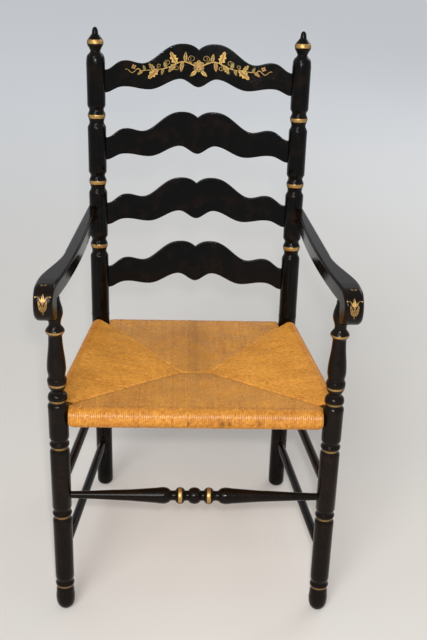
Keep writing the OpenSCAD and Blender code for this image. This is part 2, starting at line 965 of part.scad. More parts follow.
module arm_pegs() {
    color(black)
        for (side = [-1, 1])
            on_side(side)
                leaned()
                    arm_peg(0);
}

rear_post_left();
rear_post_right();
front_post_left();
front_post_right();
arm_left();
arm_right();
slat_top();
slat_upper();
slat_lower();
slat_bottom();
seat_rail_front();
seat_rail_back();
seat_rail_left();
seat_rail_right();
front_stretcher();
side_stretcher_upper_left();
side_stretcher_upper_right();
side_stretcher_lower_left();
side_stretcher_lower_right();
rear_stretcher();
rush_seat();
stuffing_front();
stuffing_back();
stuffing_left();
stuffing_right();
top_slat_pegs();
arm_pegs();
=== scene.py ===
import math
import random

import bpy
import numpy as np
from mathutils import Matrix, Vector, noise


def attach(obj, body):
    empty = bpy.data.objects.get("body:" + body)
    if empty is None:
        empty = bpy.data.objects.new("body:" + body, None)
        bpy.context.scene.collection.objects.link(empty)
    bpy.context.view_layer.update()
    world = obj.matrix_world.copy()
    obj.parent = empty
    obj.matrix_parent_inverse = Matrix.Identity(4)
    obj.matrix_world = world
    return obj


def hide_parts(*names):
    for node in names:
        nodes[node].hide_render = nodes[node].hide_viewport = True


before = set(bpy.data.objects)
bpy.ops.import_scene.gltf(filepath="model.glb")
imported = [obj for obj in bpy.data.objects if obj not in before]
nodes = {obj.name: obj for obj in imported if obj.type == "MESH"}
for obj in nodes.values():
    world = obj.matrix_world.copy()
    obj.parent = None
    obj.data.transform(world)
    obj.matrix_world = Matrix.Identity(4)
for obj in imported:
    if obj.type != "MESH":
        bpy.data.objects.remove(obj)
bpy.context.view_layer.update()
print("frame loaded:", len(nodes), "solids")

# The chair's own layout, in mm and degrees, the same as in the solids
chair = {
    "lean": 2.0,
    "rake": 6.0,            # of the rear posts over their bend
    "bend": 455.0,
    "depth": 449.0,
    "centre": 272.704,
    "frontHalf": 257.0,
    "rearHalf": 204.0,
    "frontSplay": 0.4,
    "rearSplay": 0.7,
    "rearRadius": 19.7,
}


def sind(a):
    return math.sin(math.radians(a))


def cosd(a):
    return math.cos(math.radians(a))


def tand(a):
    return math.tan(math.radians(a))


def smoothStep(t):
    return t * t * (3 - 2 * t)


def frontX(h):
    return chair["frontHalf"] + h * tand(chair["frontSplay"])


def rearX(h):
    return chair["rearHalf"] + h * tand(chair["rearSplay"])


def rakedX(s):
    return rearX(chair["bend"]) + s * cosd(chair["rake"]) * sind(chair["rearSplay"])


def leaned(points):
    # square frame in mm to the leaned chair in metres
    p = np.asarray(points, float)
    y = p[..., 1] * cosd(chair["lean"]) + p[..., 2] * sind(chair["lean"]) - chair["centre"]
    z = p[..., 2] * cosd(chair["lean"]) - p[..., 1] * sind(chair["lean"])
    return np.stack([p[..., 0], y, z], -1) / 1000


def raked(x, out, s):
    # place in the raked back: out is to the back, s runs up the posts from their bend
    y = chair["depth"] + out * cosd(chair["rake"]) + s * sind(chair["rake"])
    z = chair["bend"] + s * cosd(chair["rake"]) - out * sind(chair["rake"])
    return leaned(np.stack(np.broadcast_arrays(x, y, z), -1))


# The camera comes first, at the photo's viewing angle
shot = {
    "place": (-0.040, -2.141655, 1.568),
    "yaw": 2.05,
    "pitch": 26.06,
    "roll": 1.69,
    "focalPixels": 1154.6,
    "frameHeight": 640,
    "sensor": 36,
}


def makeCamera():
    yaw, pitch, roll = shot["yaw"], shot["pitch"], shot["roll"]
    ahead = Vector((sind(yaw) * cosd(pitch), cosd(yaw) * cosd(pitch), -sind(pitch)))
    right = Vector((cosd(yaw), -sind(yaw), 0))
    up = right.cross(ahead)
    rolledRight = cosd(roll) * right + sind(roll) * up
    rolledUp = cosd(roll) * up - sind(roll) * right
    turn = Matrix((rolledRight, rolledUp, -ahead)).transposed()
    lens = bpy.data.cameras.new("photoCamera")
    lens.sensor_width = shot["sensor"]
    lens.sensor_fit = "AUTO"
    lens.lens = shot["focalPixels"] / shot["frameHeight"] * shot["sensor"]
    camera = bpy.data.objects.new("photoCamera", lens)
    camera.matrix_world = Matrix.Translation(shot["place"]) @ turn.to_4x4()
    bpy.context.scene.collection.objects.link(camera)
    bpy.context.scene.camera = camera


makeCamera()
print("camera placed")


# Small helpers that place and join shader nodes
def addNode(tree, kind, sockets=None, **settings):
    node = tree.nodes.new(kind)
    for key, value in settings.items():
        setattr(node, key, value)
    for key, value in (sockets or {}).items():
        node.inputs[key].default_value = value
    node.location = (len(tree.nodes) * 190 - 1800, -(len(tree.nodes) % 5) * 170)
    return node


def newGroup(name, inputs, outputs):
    tree = bpy.data.node_groups.new(name, "ShaderNodeTree")
    for label, kind, default in inputs:
        socket = tree.interface.new_socket(name=label, in_out="INPUT", socket_type=kind)
        socket.default_value = default
    for label, kind in outputs:
        tree.interface.new_socket(name=label, in_out="OUTPUT", socket_type=kind)
    start = addNode(tree, "NodeGroupInput")
    end = addNode(tree, "NodeGroupOutput")
    return tree, start.outputs, end.inputs


def feed(tree, socket, value):
    # a number or colour is set on the socket, anything else is linked to it
    if isinstance(value, (int, float, tuple)):
        socket.default_value = value
    elif value is not None:
        tree.links.new(value, socket)


def mathNode(tree, operation, a, b=None, c=None, clamp=False):
    node = addNode(tree, "ShaderNodeMath", operation=operation, use_clamp=clamp)
    for socket, value in zip(node.inputs, (a, b, c)):
        feed(tree, socket, value)
    return node.outputs[0]


def swing(tree, pattern, amount, base, clamp=False):
    # adds a pattern to a value, as much under its middle as over it
    return mathNode(tree, "MULTIPLY_ADD", mathNode(tree, "SUBTRACT", pattern, 0.5), amount, base, clamp)


def mixColour(tree, factor, a, b):
    node = addNode(tree, "ShaderNodeMix", data_type="RGBA")
    for socket, value in zip((node.inputs[0], node.inputs[6], node.inputs[7]), (factor, a, b)):
        feed(tree, socket, value)
    return node.outputs[2]


def mapRange(tree, value, fromMin, fromMax, toMin=0.0, toMax=1.0, smooth=True):
    node = addNode(
        tree,
        "ShaderNodeMapRange",
        {"From Min": fromMin, "From Max": fromMax, "To Min": toMin, "To Max": toMax},
        interpolation_type="SMOOTHSTEP" if smooth else "LINEAR",
    )
    tree.links.new(value, node.inputs["Value"])
    return node.outputs["Result"]


def noiseNode(tree, vector, scale, detail, rough=0.5, distortion=0.0):
    node = addNode(
        tree,
        "ShaderNodeTexNoise",
        {"Scale": scale, "Detail": detail, "Roughness": rough, "Distortion": distortion},
    )
    tree.links.new(vector, node.inputs["Vector"])
    return node.outputs["Fac"]


def objectPlace(tree):
    return addNode(tree, "ShaderNodeTexCoord").outputs["Object"]


def splitVector(tree, vector):
    node = addNode(tree, "ShaderNodeSeparateXYZ")
    tree.links.new(vector, node.inputs[0])
    return node.outputs


def joinVector(tree, *parts):
    node = addNode(tree, "ShaderNodeCombineXYZ")
    for socket, part in zip(node.inputs, parts):
        tree.links.new(part, socket)
    return node.outputs[0]


def stretchedPlace(tree, place, stretch):
    node = addNode(tree, "ShaderNodeVectorMath", operation="MULTIPLY")
    for socket, value in zip(node.inputs, (place, stretch)):
        feed(tree, socket, value)
    return node.outputs[0]


# Node groups: where a point is on the chair, and what covers it
surfaceOutputs = [
    ("Colour", "NodeSocketColor"),
    ("Roughness", "NodeSocketFloat"),
    ("Height", "NodeSocketFloat"),
]


def makeChairPlaceGroup():
    # height in the square frame and distance up the raked posts, in mm, from the object's own place
    tree, start, end = newGroup(
        "chairPlace",
        [],
        [("Across", "NodeSocketFloat"), ("Height", "NodeSocketFloat"), ("Raked", "NodeSocketFloat")],
    )
    split = splitVector(tree, objectPlace(tree))
    x = mathNode(tree, "MULTIPLY", split[0], 1000.0)
    y = mathNode(tree, "MULTIPLY_ADD", split[1], 1000.0, chair["centre"])
    z = mathNode(tree, "MULTIPLY", split[2], 1000.0)
    lean, rake = chair["lean"], chair["rake"]
    height = mathNode(tree, "MULTIPLY_ADD", y, sind(lean), mathNode(tree, "MULTIPLY", z, cosd(lean)))
    deep = mathNode(tree, "MULTIPLY_ADD", z, -sind(lean), mathNode(tree, "MULTIPLY", y, cosd(lean)))
    backPart = mathNode(tree, "MULTIPLY", mathNode(tree, "SUBTRACT", deep, chair["depth"]), sind(rake))
    upPart = mathNode(tree, "SUBTRACT", height, chair["bend"])
    tree.links.new(mathNode(tree, "ABSOLUTE", x), end["Across"])
    tree.links.new(height, end["Height"])
    tree.links.new(mathNode(tree, "MULTIPLY_ADD", upPart, cosd(rake), backPart), end["Raked"])
    return tree


# In this and the next four, a pattern is its scale, detail, roughness and distortion
bandTexture = {
    "wobble": (90.0, 2.0),
    "softness": 0.6,            # mm over which the edge fades
    "chips": (420.0, 4.0, 0.65),
    "chipped": (0.30, 0.40),    # bare under the first, painted over the second
}


def makeGoldBandGroup():
    # a hand painted ring round a bead, with a slightly uneven edge
    tree, start, end = newGroup(
        "goldBand",
        [
            ("Along", "NodeSocketFloat", 0.0),
            ("Centre", "NodeSocketFloat", 0.0),
            ("Width", "NodeSocketFloat", 3.5),
            ("Unevenness", "NodeSocketFloat", 0.5),
        ],
        [("Mask", "NodeSocketFloat")],
    )
    place = objectPlace(tree)
    wobble = noiseNode(tree, place, *bandTexture["wobble"])
    shifted = swing(tree, wobble, start["Unevenness"], start["Along"])
    away = mathNode(tree, "ABSOLUTE", mathNode(tree, "SUBTRACT", shifted, start["Centre"]))
    inside = mathNode(tree, "SUBTRACT", mathNode(tree, "MULTIPLY", start["Width"], 0.5), away)
    edge = mapRange(tree, inside, -bandTexture["softness"], bandTexture["softness"])
    painted = mapRange(tree, noiseNode(tree, place, *bandTexture["chips"]), *bandTexture["chipped"])
    tree.links.new(mathNode(tree, "MULTIPLY", edge, painted), end["Mask"])
    return tree


lacquerTexture = {
    "grain": (900.0, 4.0, 0.6, 0.4),
    "pores": (2600.0, 2.0, 0.7),
    "poreRange": (0.60, 0.72),
    "cloud": (38.0, 4.0, 0.55),
    "cloudRange": (0.45, 0.75),
    "smears": (9.0, 3.0, 0.6),
    "patches": (130.0, 5.0, 0.7),
    "patchRange": (0.42, 0.66),
    "crestRange": (0.515, 0.585),      # pointiness where rubbing starts and where it is full
    "cloudTint": 0.12,
    "smearRoughness": 0.16,
    "cloudRoughness": 0.14,
    "rubbedRoughness": 0.20,
    "grainHeight": 0.45,
    "cloudHeight": 0.9,
    "poreHeight": -0.30,
}


def makeLacquerGroup():
    # black lacquer over turned and sawn wood, rubbed through to brown on its crests
    tree, start, end = newGroup(
        "lacquer",
        [
            ("Grain Stretch", "NodeSocketVector", (1.0, 1.0, 0.05)),
            ("Coat Colour", "NodeSocketColor", (0.006, 0.005, 0.0045, 1.0)),
            ("Rubbed Colour", "NodeSocketColor", (0.050, 0.019, 0.008, 1.0)),
            ("Rubbing", "NodeSocketFloat", 0.5),
            ("Base Roughness", "NodeSocketFloat", 0.24),
        ],
        surfaceOutputs,
    )
    texture = lacquerTexture
    place = objectPlace(tree)
    along = stretchedPlace(tree, place, start["Grain Stretch"])
    grain = noiseNode(tree, along, *texture["grain"])
    pores = mapRange(tree, noiseNode(tree, along, *texture["pores"]), *texture["poreRange"])
    cloud = noiseNode(tree, place, *texture["cloud"])
    smears = noiseNode(tree, place, *texture["smears"])
    pointed = addNode(tree, "ShaderNodeNewGeometry").outputs["Pointiness"]
    crest = mapRange(tree, pointed, *texture["crestRange"])
    patches = mapRange(tree, noiseNode(tree, place, *texture["patches"]), *texture["patchRange"])
    worn = mathNode(tree, "MULTIPLY", crest, patches)
    rubbed = mathNode(tree, "MULTIPLY", worn, start["Rubbing"], clamp=True)
    warm = mapRange(tree, cloud, *texture["cloudRange"], 0.0, texture["cloudTint"])
    toned = mixColour(tree, warm, start["Coat Colour"], start["Rubbed Colour"])
    tree.links.new(mixColour(tree, rubbed, toned, start["Rubbed Colour"]), end["Colour"])
    uneven = swing(tree, smears, texture["smearRoughness"], start["Base Roughness"])
    fine = swing(tree, cloud, texture["cloudRoughness"], uneven)
    rough = mathNode(tree, "MULTIPLY_ADD", rubbed, texture["rubbedRoughness"], fine, clamp=True)
    tree.links.new(rough, end["Roughness"])
    clouded = mathNode(tree, "MULTIPLY", cloud, texture["cloudHeight"])
    grained = mathNode(tree, "MULTIPLY_ADD", grain, texture["grainHeight"], clouded)
    tree.links.new(mathNode(tree, "MULTIPLY_ADD", pores, texture["poreHeight"], grained), end["Height"])
    return tree


giltTexture = {
    "mottle": (260.0, 5.0, 0.65),
    "mottleTone": 1.7,
    "specks": (1500.0, 3.0, 0.6),
    "speckTone": 0.5,
    "speckHeight": 0.5,
    "roughness": (0.30, 0.52),
}


def makeGiltGroup():
    # bronze powder gilding: warm, mottled, thin in places
    tree, start, end = newGroup(
        "gilt",
        [
            ("Bright Colour", "NodeSocketColor", (0.62, 0.40, 0.13, 1.0)),
            ("Dull Colour", "NodeSocketColor", (0.20, 0.105, 0.03, 1.0)),
            ("Tone", "NodeSocketFloat", 0.5),
        ],
        surfaceOutputs,
    )
    texture = giltTexture
    place = objectPlace(tree)
    mottle = noiseNode(tree, place, *texture["mottle"])
    specks = noiseNode(tree, place, *texture["specks"])
    shade = swing(tree, mottle, texture["mottleTone"], start["Tone"])
    shade = swing(tree, specks, texture["speckTone"], shade, clamp=True)
    tree.links.new(mixColour(tree, shade, start["Dull Colour"], start["Bright Colour"]), end["Colour"])
    rough = mapRange(tree, mottle, 0.2, 0.8, *texture["roughness"], smooth=False)
    tree.links.new(rough, end["Roughness"])
    tree.links.new(mathNode(tree, "MULTIPLY_ADD", specks, texture["speckHeight"], mottle), end["Height"])
    return tree


rushTexture = {
    "twist": 0.055,             # turns per mm, so one turn in about 18 mm
    "ownTurn": 0.37,            # how far a strand's own number turns it
    "fibre": (1.6, 4.0, 0.6),
    "fibreLay": (0.05, 9.0),    # how fine the fibres are along and round the strand
    "fibreTone": 0.7,
    "leafEdge": 0.26,           # width of the gap between two wound leaves
    "runs": (1.0, 4.0, 0.7),    # pale and deep lengths of one leaf
    "runLay": (0.14, 7.0),
    "runTone": 1.15,
    "specks": (150.0, 3.0, 0.6),
    "speckTone": 0.95,
    "patches": (14.0, 4.0, 0.6),
    "patchTone": 0.8,
    "flecks": (75.0, 4.0, 0.7),
    "fleckRange": (0.63, 0.76),
    "fleckBrown": 0.7,
    # painted shade in the crease between two wound leaves
    "creaseShade": 0.30,
    "roughness": (0.30, 0.48),
    "brownRoughness": 0.12,
    "leafHeight": 0.8,
}


def makeRushGroup():
    # twisted rush: fibres wind round each strand, with pale and brown lengths
    tree, start, end = newGroup(
        "rushFibre",
        [
            ("Strand Place", "NodeSocketVector", (0.0, 0.0, 0.0)),      # mm along, turns round, own number
            ("Tone", "NodeSocketFloat", 0.5),
            ("Brown", "NodeSocketFloat", 0.0),
            ("Pale Colour", "NodeSocketColor", (0.80, 0.46, 0.155, 1.0)),
            ("Deep Colour", "NodeSocketColor", (0.46, 0.205, 0.050, 1.0)),
            ("Brown Colour", "NodeSocketColor", (0.16, 0.070, 0.022, 1.0)),
        ],
        surfaceOutputs,
    )
    texture = rushTexture
    place = objectPlace(tree)
    along, around, own = splitVector(tree, start["Strand Place"])
    wound = mathNode(tree, "MULTIPLY_ADD", along, texture["twist"], around)
    wound = mathNode(tree, "MULTIPLY_ADD", own, texture["ownTurn"], wound)
    layAlong, layRound = texture["fibreLay"]
    lay = joinVector(
        tree, mathNode(tree, "MULTIPLY", along, layAlong), mathNode(tree, "MULTIPLY", wound, layRound), own
    )
    fibre = noiseNode(tree, lay, *texture["fibre"])
    wave = mathNode(tree, "SINE", mathNode(tree, "MULTIPLY", wound, math.pi))
    leaf = mapRange(tree, mathNode(tree, "ABSOLUTE", wave), 0.0, texture["leafEdge"])
    runAlong, runOwn = texture["runLay"]
    length = joinVector(
        tree, mathNode(tree, "MULTIPLY", along, runAlong), mathNode(tree, "MULTIPLY", own, runOwn)
    )
    tone = start["Tone"]
    tone = swing(tree, noiseNode(tree, length, *texture["runs"]), texture["runTone"], tone)
    tone = swing(tree, fibre, texture["fibreTone"], tone)
    tone = swing(tree, noiseNode(tree, place, *texture["specks"]), texture["speckTone"], tone)
    tone = swing(tree, noiseNode(tree, place, *texture["patches"]), texture["patchTone"], tone, clamp=True)
    base = mixColour(tree, tone, start["Deep Colour"], start["Pale Colour"])
    flecks = noiseNode(tree, place, *texture["flecks"])
    flecks = mapRange(tree, flecks, *texture["fleckRange"], 0.0, texture["fleckBrown"])
    # painted shade: darker colour in the crease between two wound leaves of each strand
    leafGapShade = mathNode(tree, "MULTIPLY", mathNode(tree, "SUBTRACT", 1.0, leaf), texture["creaseShade"])
    brown = mathNode(tree, "MAXIMUM", mathNode(tree, "MAXIMUM", start["Brown"], flecks), leafGapShade)
    tree.links.new(mixColour(tree, brown, base, start["Brown Colour"]), end["Colour"])
    rough = mapRange(tree, fibre, 0.25, 0.75, *texture["roughness"], smooth=False)
    rough = mathNode(tree, "MULTIPLY_ADD", brown, texture["brownRoughness"], rough)
    tree.links.new(rough, end["Roughness"])
    tree.links.new(mathNode(tree, "MULTIPLY_ADD", leaf, texture["leafHeight"], fibre), end["Height"])
    return tree


woodTexture = {
    "rings": (220.0, 4.0, 0.6, 1.2),
    "ringShare": 0.75,
    "pores": (1400.0, 3.0, 0.6),
    "poreShare": 0.35,
    "streakRange": (0.35, 0.75),
    "roughness": (0.52, 0.68),
}


def makeWoodGroup():
    # plain turned wood, for the rails under the rush
    tree, start, end = newGroup(
        "plainWood",
        [
            ("Grain Stretch", "NodeSocketVector", (0.05, 1.0, 1.0)),
            ("Light Colour", "NodeSocketColor", (0.42, 0.25, 0.12, 1.0)),
            ("Dark Colour", "NodeSocketColor", (0.19, 0.095, 0.04, 1.0)),
        ],
        surfaceOutputs,
    )
    texture = woodTexture
    along = stretchedPlace(tree, objectPlace(tree), start["Grain Stretch"])
    rings = mathNode(tree, "MULTIPLY", noiseNode(tree, along, *texture["rings"]), texture["ringShare"])
    pores = noiseNode(tree, along, *texture["pores"])
    streak = mathNode(tree, "MULTIPLY_ADD", pores, texture["poreShare"], rings)
    mask = mapRange(tree, streak, *texture["streakRange"])
    tree.links.new(mixColour(tree, mask, start["Light Colour"], start["Dark Colour"]), end["Colour"])
    tree.links.new(mapRange(tree, mask, 0.0, 1.0, *texture["roughness"], smooth=False), end["Roughness"])
    tree.links.new(streak, end["Height"])
    return tree


groups = {
    "place": makeChairPlaceGroup(),
    "band": makeGoldBandGroup(),
    "lacquer": makeLacquerGroup(),
    "gilt": makeGiltGroup(),
    "rush": makeRushGroup(),
    "wood": makeWoodGroup(),
}
print("node groups made:", ", ".join(groups))


# Materials: each puts the groups together with its own values
grainAlong = {"x": (0.05, 1.0, 1.0), "y": (1.0, 0.05, 1.0), "z": (1.0, 1.0, 0.05)}


def newMaterial(name):
    material = bpy.data.materials.new(name)
    material.use_nodes = True
    tree = material.node_tree
    return material, tree, tree.nodes["Principled BSDF"]


def useGroup(tree, name, sockets=None):
    return addNode(tree, "ShaderNodeGroup", sockets, node_tree=groups[name])


def coverWith(tree, shader, colour, rough, height, bumpDistance):
    tree.links.new(colour, shader.inputs["Base Color"])
    tree.links.new(rough, shader.inputs["Roughness"])
    bump = addNode(tree, "ShaderNodeBump", {"Distance": bumpDistance})
    tree.links.new(height, bump.inputs["Height"])
    tree.links.new(bump.outputs["Normal"], shader.inputs["Normal"])


lacquerLook = {
    "coat": (0.0019, 0.0017, 0.0014, 1.0),
    # a lighter, warmer copy of the coat for the front posts, the arms and the front and side stretchers:
    # painted reflection of the warm floor in the lacquer
    "warmReflectionCoat": (0.0052, 0.0031, 0.0019, 1.0),
    "rubbed": (0.050, 0.019, 0.008, 1.0),
    "rubbing": 0.40,
    "roughness": 0.12,
    "specular": 0.13,
    "bump": 0.00010,
    "bandBright": (0.62, 0.385, 0.13, 1.0),
    "bandDull": (0.25, 0.125, 0.036, 1.0),
    # painted shade at the sides of a gold ring, as it turns away from the eye
    "bandRimShade": (0.11, 0.050, 0.016, 1.0),
    "bandRimShadeRange": (0.25, 0.85),
    "bandTone": 0.62,
    "bandMetal": 0.80,
    "bandHeight": 0.5,
    "bandUneven": 1.2,
    # centre and width in mm and strength of each ring
    "frontRings": [
        (56.6, 4.4, 0.60), (221.0, 5.0, 0.80), (375.8, 5.0, 0.80),
        (476.2, 4.4, 0.75), (509.2, 4.4, 0.75), (616.4, 5.2, 1.0),
    ],
    "rearRings": [(158.6, 7.6, 1.0), (298.6, 7.6, 1.0), (439.8, 7.6, 1.0), (594.0, 8.6, 1.0)],
    "stretcherRings": [(28.0, 7.0, 1.0)],
}


def paintRings(tree, shader, rings, measure, colour, rough, height):
    # gold rings over the lacquer, each at its own place along the part
    look = lacquerLook
    place = useGroup(tree, "place")
    mask = None
    for centre, width, strength in rings:
        ring = useGroup(tree, "band", {"Centre": centre, "Width": width, "Unevenness": look["bandUneven"]})
        tree.links.new(place.outputs[measure], ring.inputs["Along"])
        painted = mathNode(tree, "MULTIPLY", ring.outputs["Mask"], strength)
        mask = painted if mask is None else mathNode(tree, "MAXIMUM", mask, painted)
    gilt = useGroup(
        tree,
        "gilt",
        {"Bright Colour": look["bandBright"], "Dull Colour": look["bandDull"], "Tone": look["bandTone"]},
    ).outputs
    # painted shade: the gold turns dark brown where the ring faces away from the view
    rim = mapRange(tree, addNode(tree, "ShaderNodeLayerWeight").outputs["Facing"], *look["bandRimShadeRange"])
    colour = mixColour(tree, mask, colour, mixColour(tree, rim, gilt["Colour"], look["bandRimShade"]))
    change = mathNode(tree, "SUBTRACT", gilt["Roughness"], rough)
    rough = mathNode(tree, "MULTIPLY_ADD", change, mask, rough)
    height = mathNode(tree, "MULTIPLY_ADD", mask, look["bandHeight"], height)
    tree.links.new(mathNode(tree, "MULTIPLY", mask, look["bandMetal"]), shader.inputs["Metallic"])
    return colour, rough, height


def makeLacquer(name, grain, rings=None, measure="Height", tint="coat"):
    material, tree, shader = newMaterial(name)
    coat = useGroup(
        tree,
        "lacquer",
        {
            "Grain Stretch": grainAlong[grain],
            "Coat Colour": lacquerLook[tint],
            "Rubbed Colour": lacquerLook["rubbed"],
            "Rubbing": lacquerLook["rubbing"],
            "Base Roughness": lacquerLook["roughness"],
        },
    ).outputs
    colour, rough, height = coat["Colour"], coat["Roughness"], coat["Height"]
    if rings:
        colour, rough, height = paintRings(tree, shader, lacquerLook[rings], measure, colour, rough, height)
    coverWith(tree, shader, colour, rough, height, lacquerLook["bump"])
    shader.inputs["Specular IOR Level"].default_value = lacquerLook["specular"]
    return material


giltLook = {
    "bright": (0.61, 0.375, 0.095, 1.0),
    "dull": (0.10, 0.055, 0.013, 1.0),
    "green": (0.17, 0.16, 0.045, 1.0),
    "copper": (0.36, 0.15, 0.06, 1.0),
    "metallic": 0.55,
    "bump": 0.0001,
}


def makeGiltPaint():
    # the mesh says how bright, green and copper each place is
    material, tree, shader = newMaterial("giltStencilPaint")
    painted = addNode(tree, "ShaderNodeAttribute", attribute_name="giltTone")
    split = addNode(tree, "ShaderNodeSeparateColor")
    tree.links.new(painted.outputs["Color"], split.inputs[0])
    gilt = useGroup(tree, "gilt", {"Bright Colour": giltLook["bright"], "Dull Colour": giltLook["dull"]})
    tree.links.new(split.outputs[0], gilt.inputs["Tone"])
    colour = mixColour(tree, split.outputs[1], gilt.outputs["Colour"], giltLook["green"])
    colour = mixColour(tree, split.outputs[2], colour, giltLook["copper"])
    coverWith(tree, shader, colour, gilt.outputs["Roughness"], gilt.outputs["Height"], giltLook["bump"])
    shader.inputs["Metallic"].default_value = giltLook["metallic"]
    return material


rushLook = {
    # pale, deep and brown
    "strand": ((0.92, 0.42, 0.060, 1.0), (0.43, 0.143, 0.012, 1.0), (0.22, 0.072, 0.008, 1.0)),
    # the real packing under the strands, darkened as painted shade in the gaps between them
    "packing": ((0.16, 0.085, 0.03, 1.0), (0.08, 0.038, 0.012, 1.0), (0.03, 0.014, 0.006, 1.0)),
    "packingStretch": (900.0, 260.0, 260.0),
    "strandNumbers": 50.0,      # spreads the strands' own numbers, which run from 0 to 1
    "bump": 0.0005,
    "specular": 0.24,
    "coatRoughness": 0.22,
}


def makeRush(name, kind):
    material, tree, shader = newMaterial(name)
    pale, deep, brown = rushLook[kind]
    fibre = useGroup(tree, "rush", {"Pale Colour": pale, "Deep Colour": deep, "Brown Colour": brown})
    if kind == "strand":
        look = addNode(tree, "ShaderNodeAttribute", attribute_name="strandLook")
        split = addNode(tree, "ShaderNodeSeparateColor")
        tree.links.new(look.outputs["Color"], split.inputs[0])
        tree.links.new(split.outputs[0], fibre.inputs["Tone"])
        tree.links.new(split.outputs[1], fibre.inputs["Brown"])
        tree.links.new(look.outputs["Alpha"], shader.inputs["Coat Weight"])
        uv = splitVector(tree, addNode(tree, "ShaderNodeUVMap", uv_map="strandPlace").outputs[0])
        along = mathNode(tree, "MULTIPLY", uv[0], 1000.0)
        own = mathNode(tree, "MULTIPLY", split.outputs[2], rushLook["strandNumbers"])
        spot = joinVector(tree, along, uv[1], own)
    else:
        spot = stretchedPlace(tree, objectPlace(tree), rushLook["packingStretch"])
    tree.links.new(spot, fibre.inputs["Strand Place"])
    out = fibre.outputs
    coverWith(tree, shader, out["Colour"], out["Roughness"], out["Height"], rushLook["bump"])
    shader.inputs["Specular IOR Level"].default_value = rushLook["specular"]
    shader.inputs["Coat Roughness"].default_value = rushLook["coatRoughness"]
    return material


woodLook = {"bump": 0.0003}


def makeWood(name, grain):
    material, tree, shader = newMaterial(name)
    wood = useGroup(tree, "wood", {"Grain Stretch": grainAlong[grain]}).outputs
    coverWith(tree, shader, wood["Colour"], wood["Roughness"], wood["Height"], woodLook["bump"])
    return material


# the front parts take the warmer coat, with its painted reflection of the warm floor
materials = {
    "frontPost": makeLacquer("frontPostLacquer", "z", "frontRings", "Height", "warmReflectionCoat"),
    "rearPost": makeLacquer("rearPostLacquer", "z", "rearRings", "Raked"),
    "stretcherFront": makeLacquer("frontStretcherLacquer", "x", "stretcherRings", "Across", "warmReflectionCoat"),
    "crossGrain": makeLacquer("slatLacquer", "x"),
    "armGrain": makeLacquer("armLacquer", "y", tint="warmReflectionCoat"),
    "gilt": makeGiltPaint(),
    "rush": makeRush("rushStrands", "strand"),
    "shadedRushHeart": makeRush("shadedRushHeart", "packing"),
    "railAcross": makeWood("railWoodAcross", "x"),
    "railDeep": makeWood("railWoodDeep", "y"),
}
print("materials made:", len(materials))


# Pieces made from points and faces
def gridFaces(rows, wide, base=0, closed=False):
    # faces between neighbouring rows of points, and round to the first point again where closed
    faces = []
    for r in range(base, base + (rows - 1) * wide, wide):
        for i in range(wide if closed else wide - 1):
            j = (i + 1) % wide
            faces.append((r + i, r + j, r + wide + j, r + wide + i))
    return faces


def roundedEdge(radius, steps):
    # a quarter round from the outline to the face: how far in, and how far from the face
    angles = [math.pi / 2 * i / steps for i in range(steps + 1)]
    return [(radius * (1 - math.cos(a)), radius * (1 - math.sin(a))) for a in angles]


def addPiece(name, points, faces, material):
    mesh = bpy.data.meshes.new(name)
    mesh.from_pydata([tuple(p) for p in points], [], faces)
    mesh.validate()
    mesh.update()
    mesh.shade_smooth()
    piece = bpy.data.objects.new(name, mesh)
    bpy.context.scene.collection.objects.link(piece)
    mesh.materials.append(material)
    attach(piece, "root")
    return piece


def crispEdges(piece):
    weighted = piece.modifiers.new("flatFaces", "WEIGHTED_NORMAL")
    weighted.keep_sharp = True
    weighted.weight = 60


# Turned parts and rails stay as solids, with their surfaces run smooth
turned = {
    "rear_post_left": "rearPost",
    "rear_post_right": "rearPost",
    "front_post_left": "frontPost",
    "front_post_right": "frontPost",
    "front_stretcher": "stretcherFront",
    "rear_stretcher": "crossGrain",
    "side_stretcher_upper_left": "armGrain",
    "side_stretcher_upper_right": "armGrain",
    "side_stretcher_lower_left": "armGrain",
    "side_stretcher_lower_right": "armGrain",
    "seat_rail_front": "railAcross",
    "seat_rail_back": "railAcross",
    "seat_rail_left": "railDeep",
    "seat_rail_right": "railDeep",
    "top_slat_pegs": "crossGrain",
    "arm_pegs": "armGrain",
}
turning = {"weldWithin": 0.00002, "crispFrom": 38.0}      # metres, degrees


def dressTurned(name, material):
    piece = nodes[name]
    mesh = piece.data
    if "custom_normal" in mesh.attributes:
        mesh.attributes.remove(mesh.attributes["custom_normal"])
    mesh.shade_smooth()
    weld = piece.modifiers.new("joinSeams", "WELD")
    weld.merge_threshold = turning["weldWithin"]
    split = piece.modifiers.new("crispCorners", "EDGE_SPLIT")
    split.split_angle = math.radians(turning["crispFrom"])
    mesh.materials.clear()
    mesh.materials.append(material)


for name, kind in turned.items():
    dressTurned(name, materials[kind])
print("turned parts dressed:", len(turned))


# Bent slats with scalloped edges
slats = {
    "first": 61.5,
    "pitch": 142.5,
    "thick": 9.0,
    "bow": 26.0,
    "drawnHalf": 193.0,      # half length at which the two edges are drawn
    # distance from the middle, height over the lower corners, and lean of the curve to the next
    "upperEdge": [(0, 89.9, 0.5), (32, 101.9, 1.22), (118, 60.5, 1), (151, 66.5, 1.3), (193, 47.5, 1)],
    "lowerEdge": [(0, 11.8, 0.95), (38, 28.7, 0.95), (104, 6.1, 1), (153, 12.3, 1.3), (193, 0.0, 1)],
    "edgeRadius": 1.9,
    "roundSteps": 4,
    "columnStep": 2.2,
    "postGap": 0.3,
    "intoPost": 2.5,
}
halfSpan = rakedX(slats["first"])
bowRadius = (halfSpan**2 + slats["bow"] ** 2) / (2 * slats["bow"])


def bowDepth(x, out):
    return slats["bow"] - bowRadius + np.sqrt((bowRadius + out) ** 2 - np.asarray(x) ** 2)


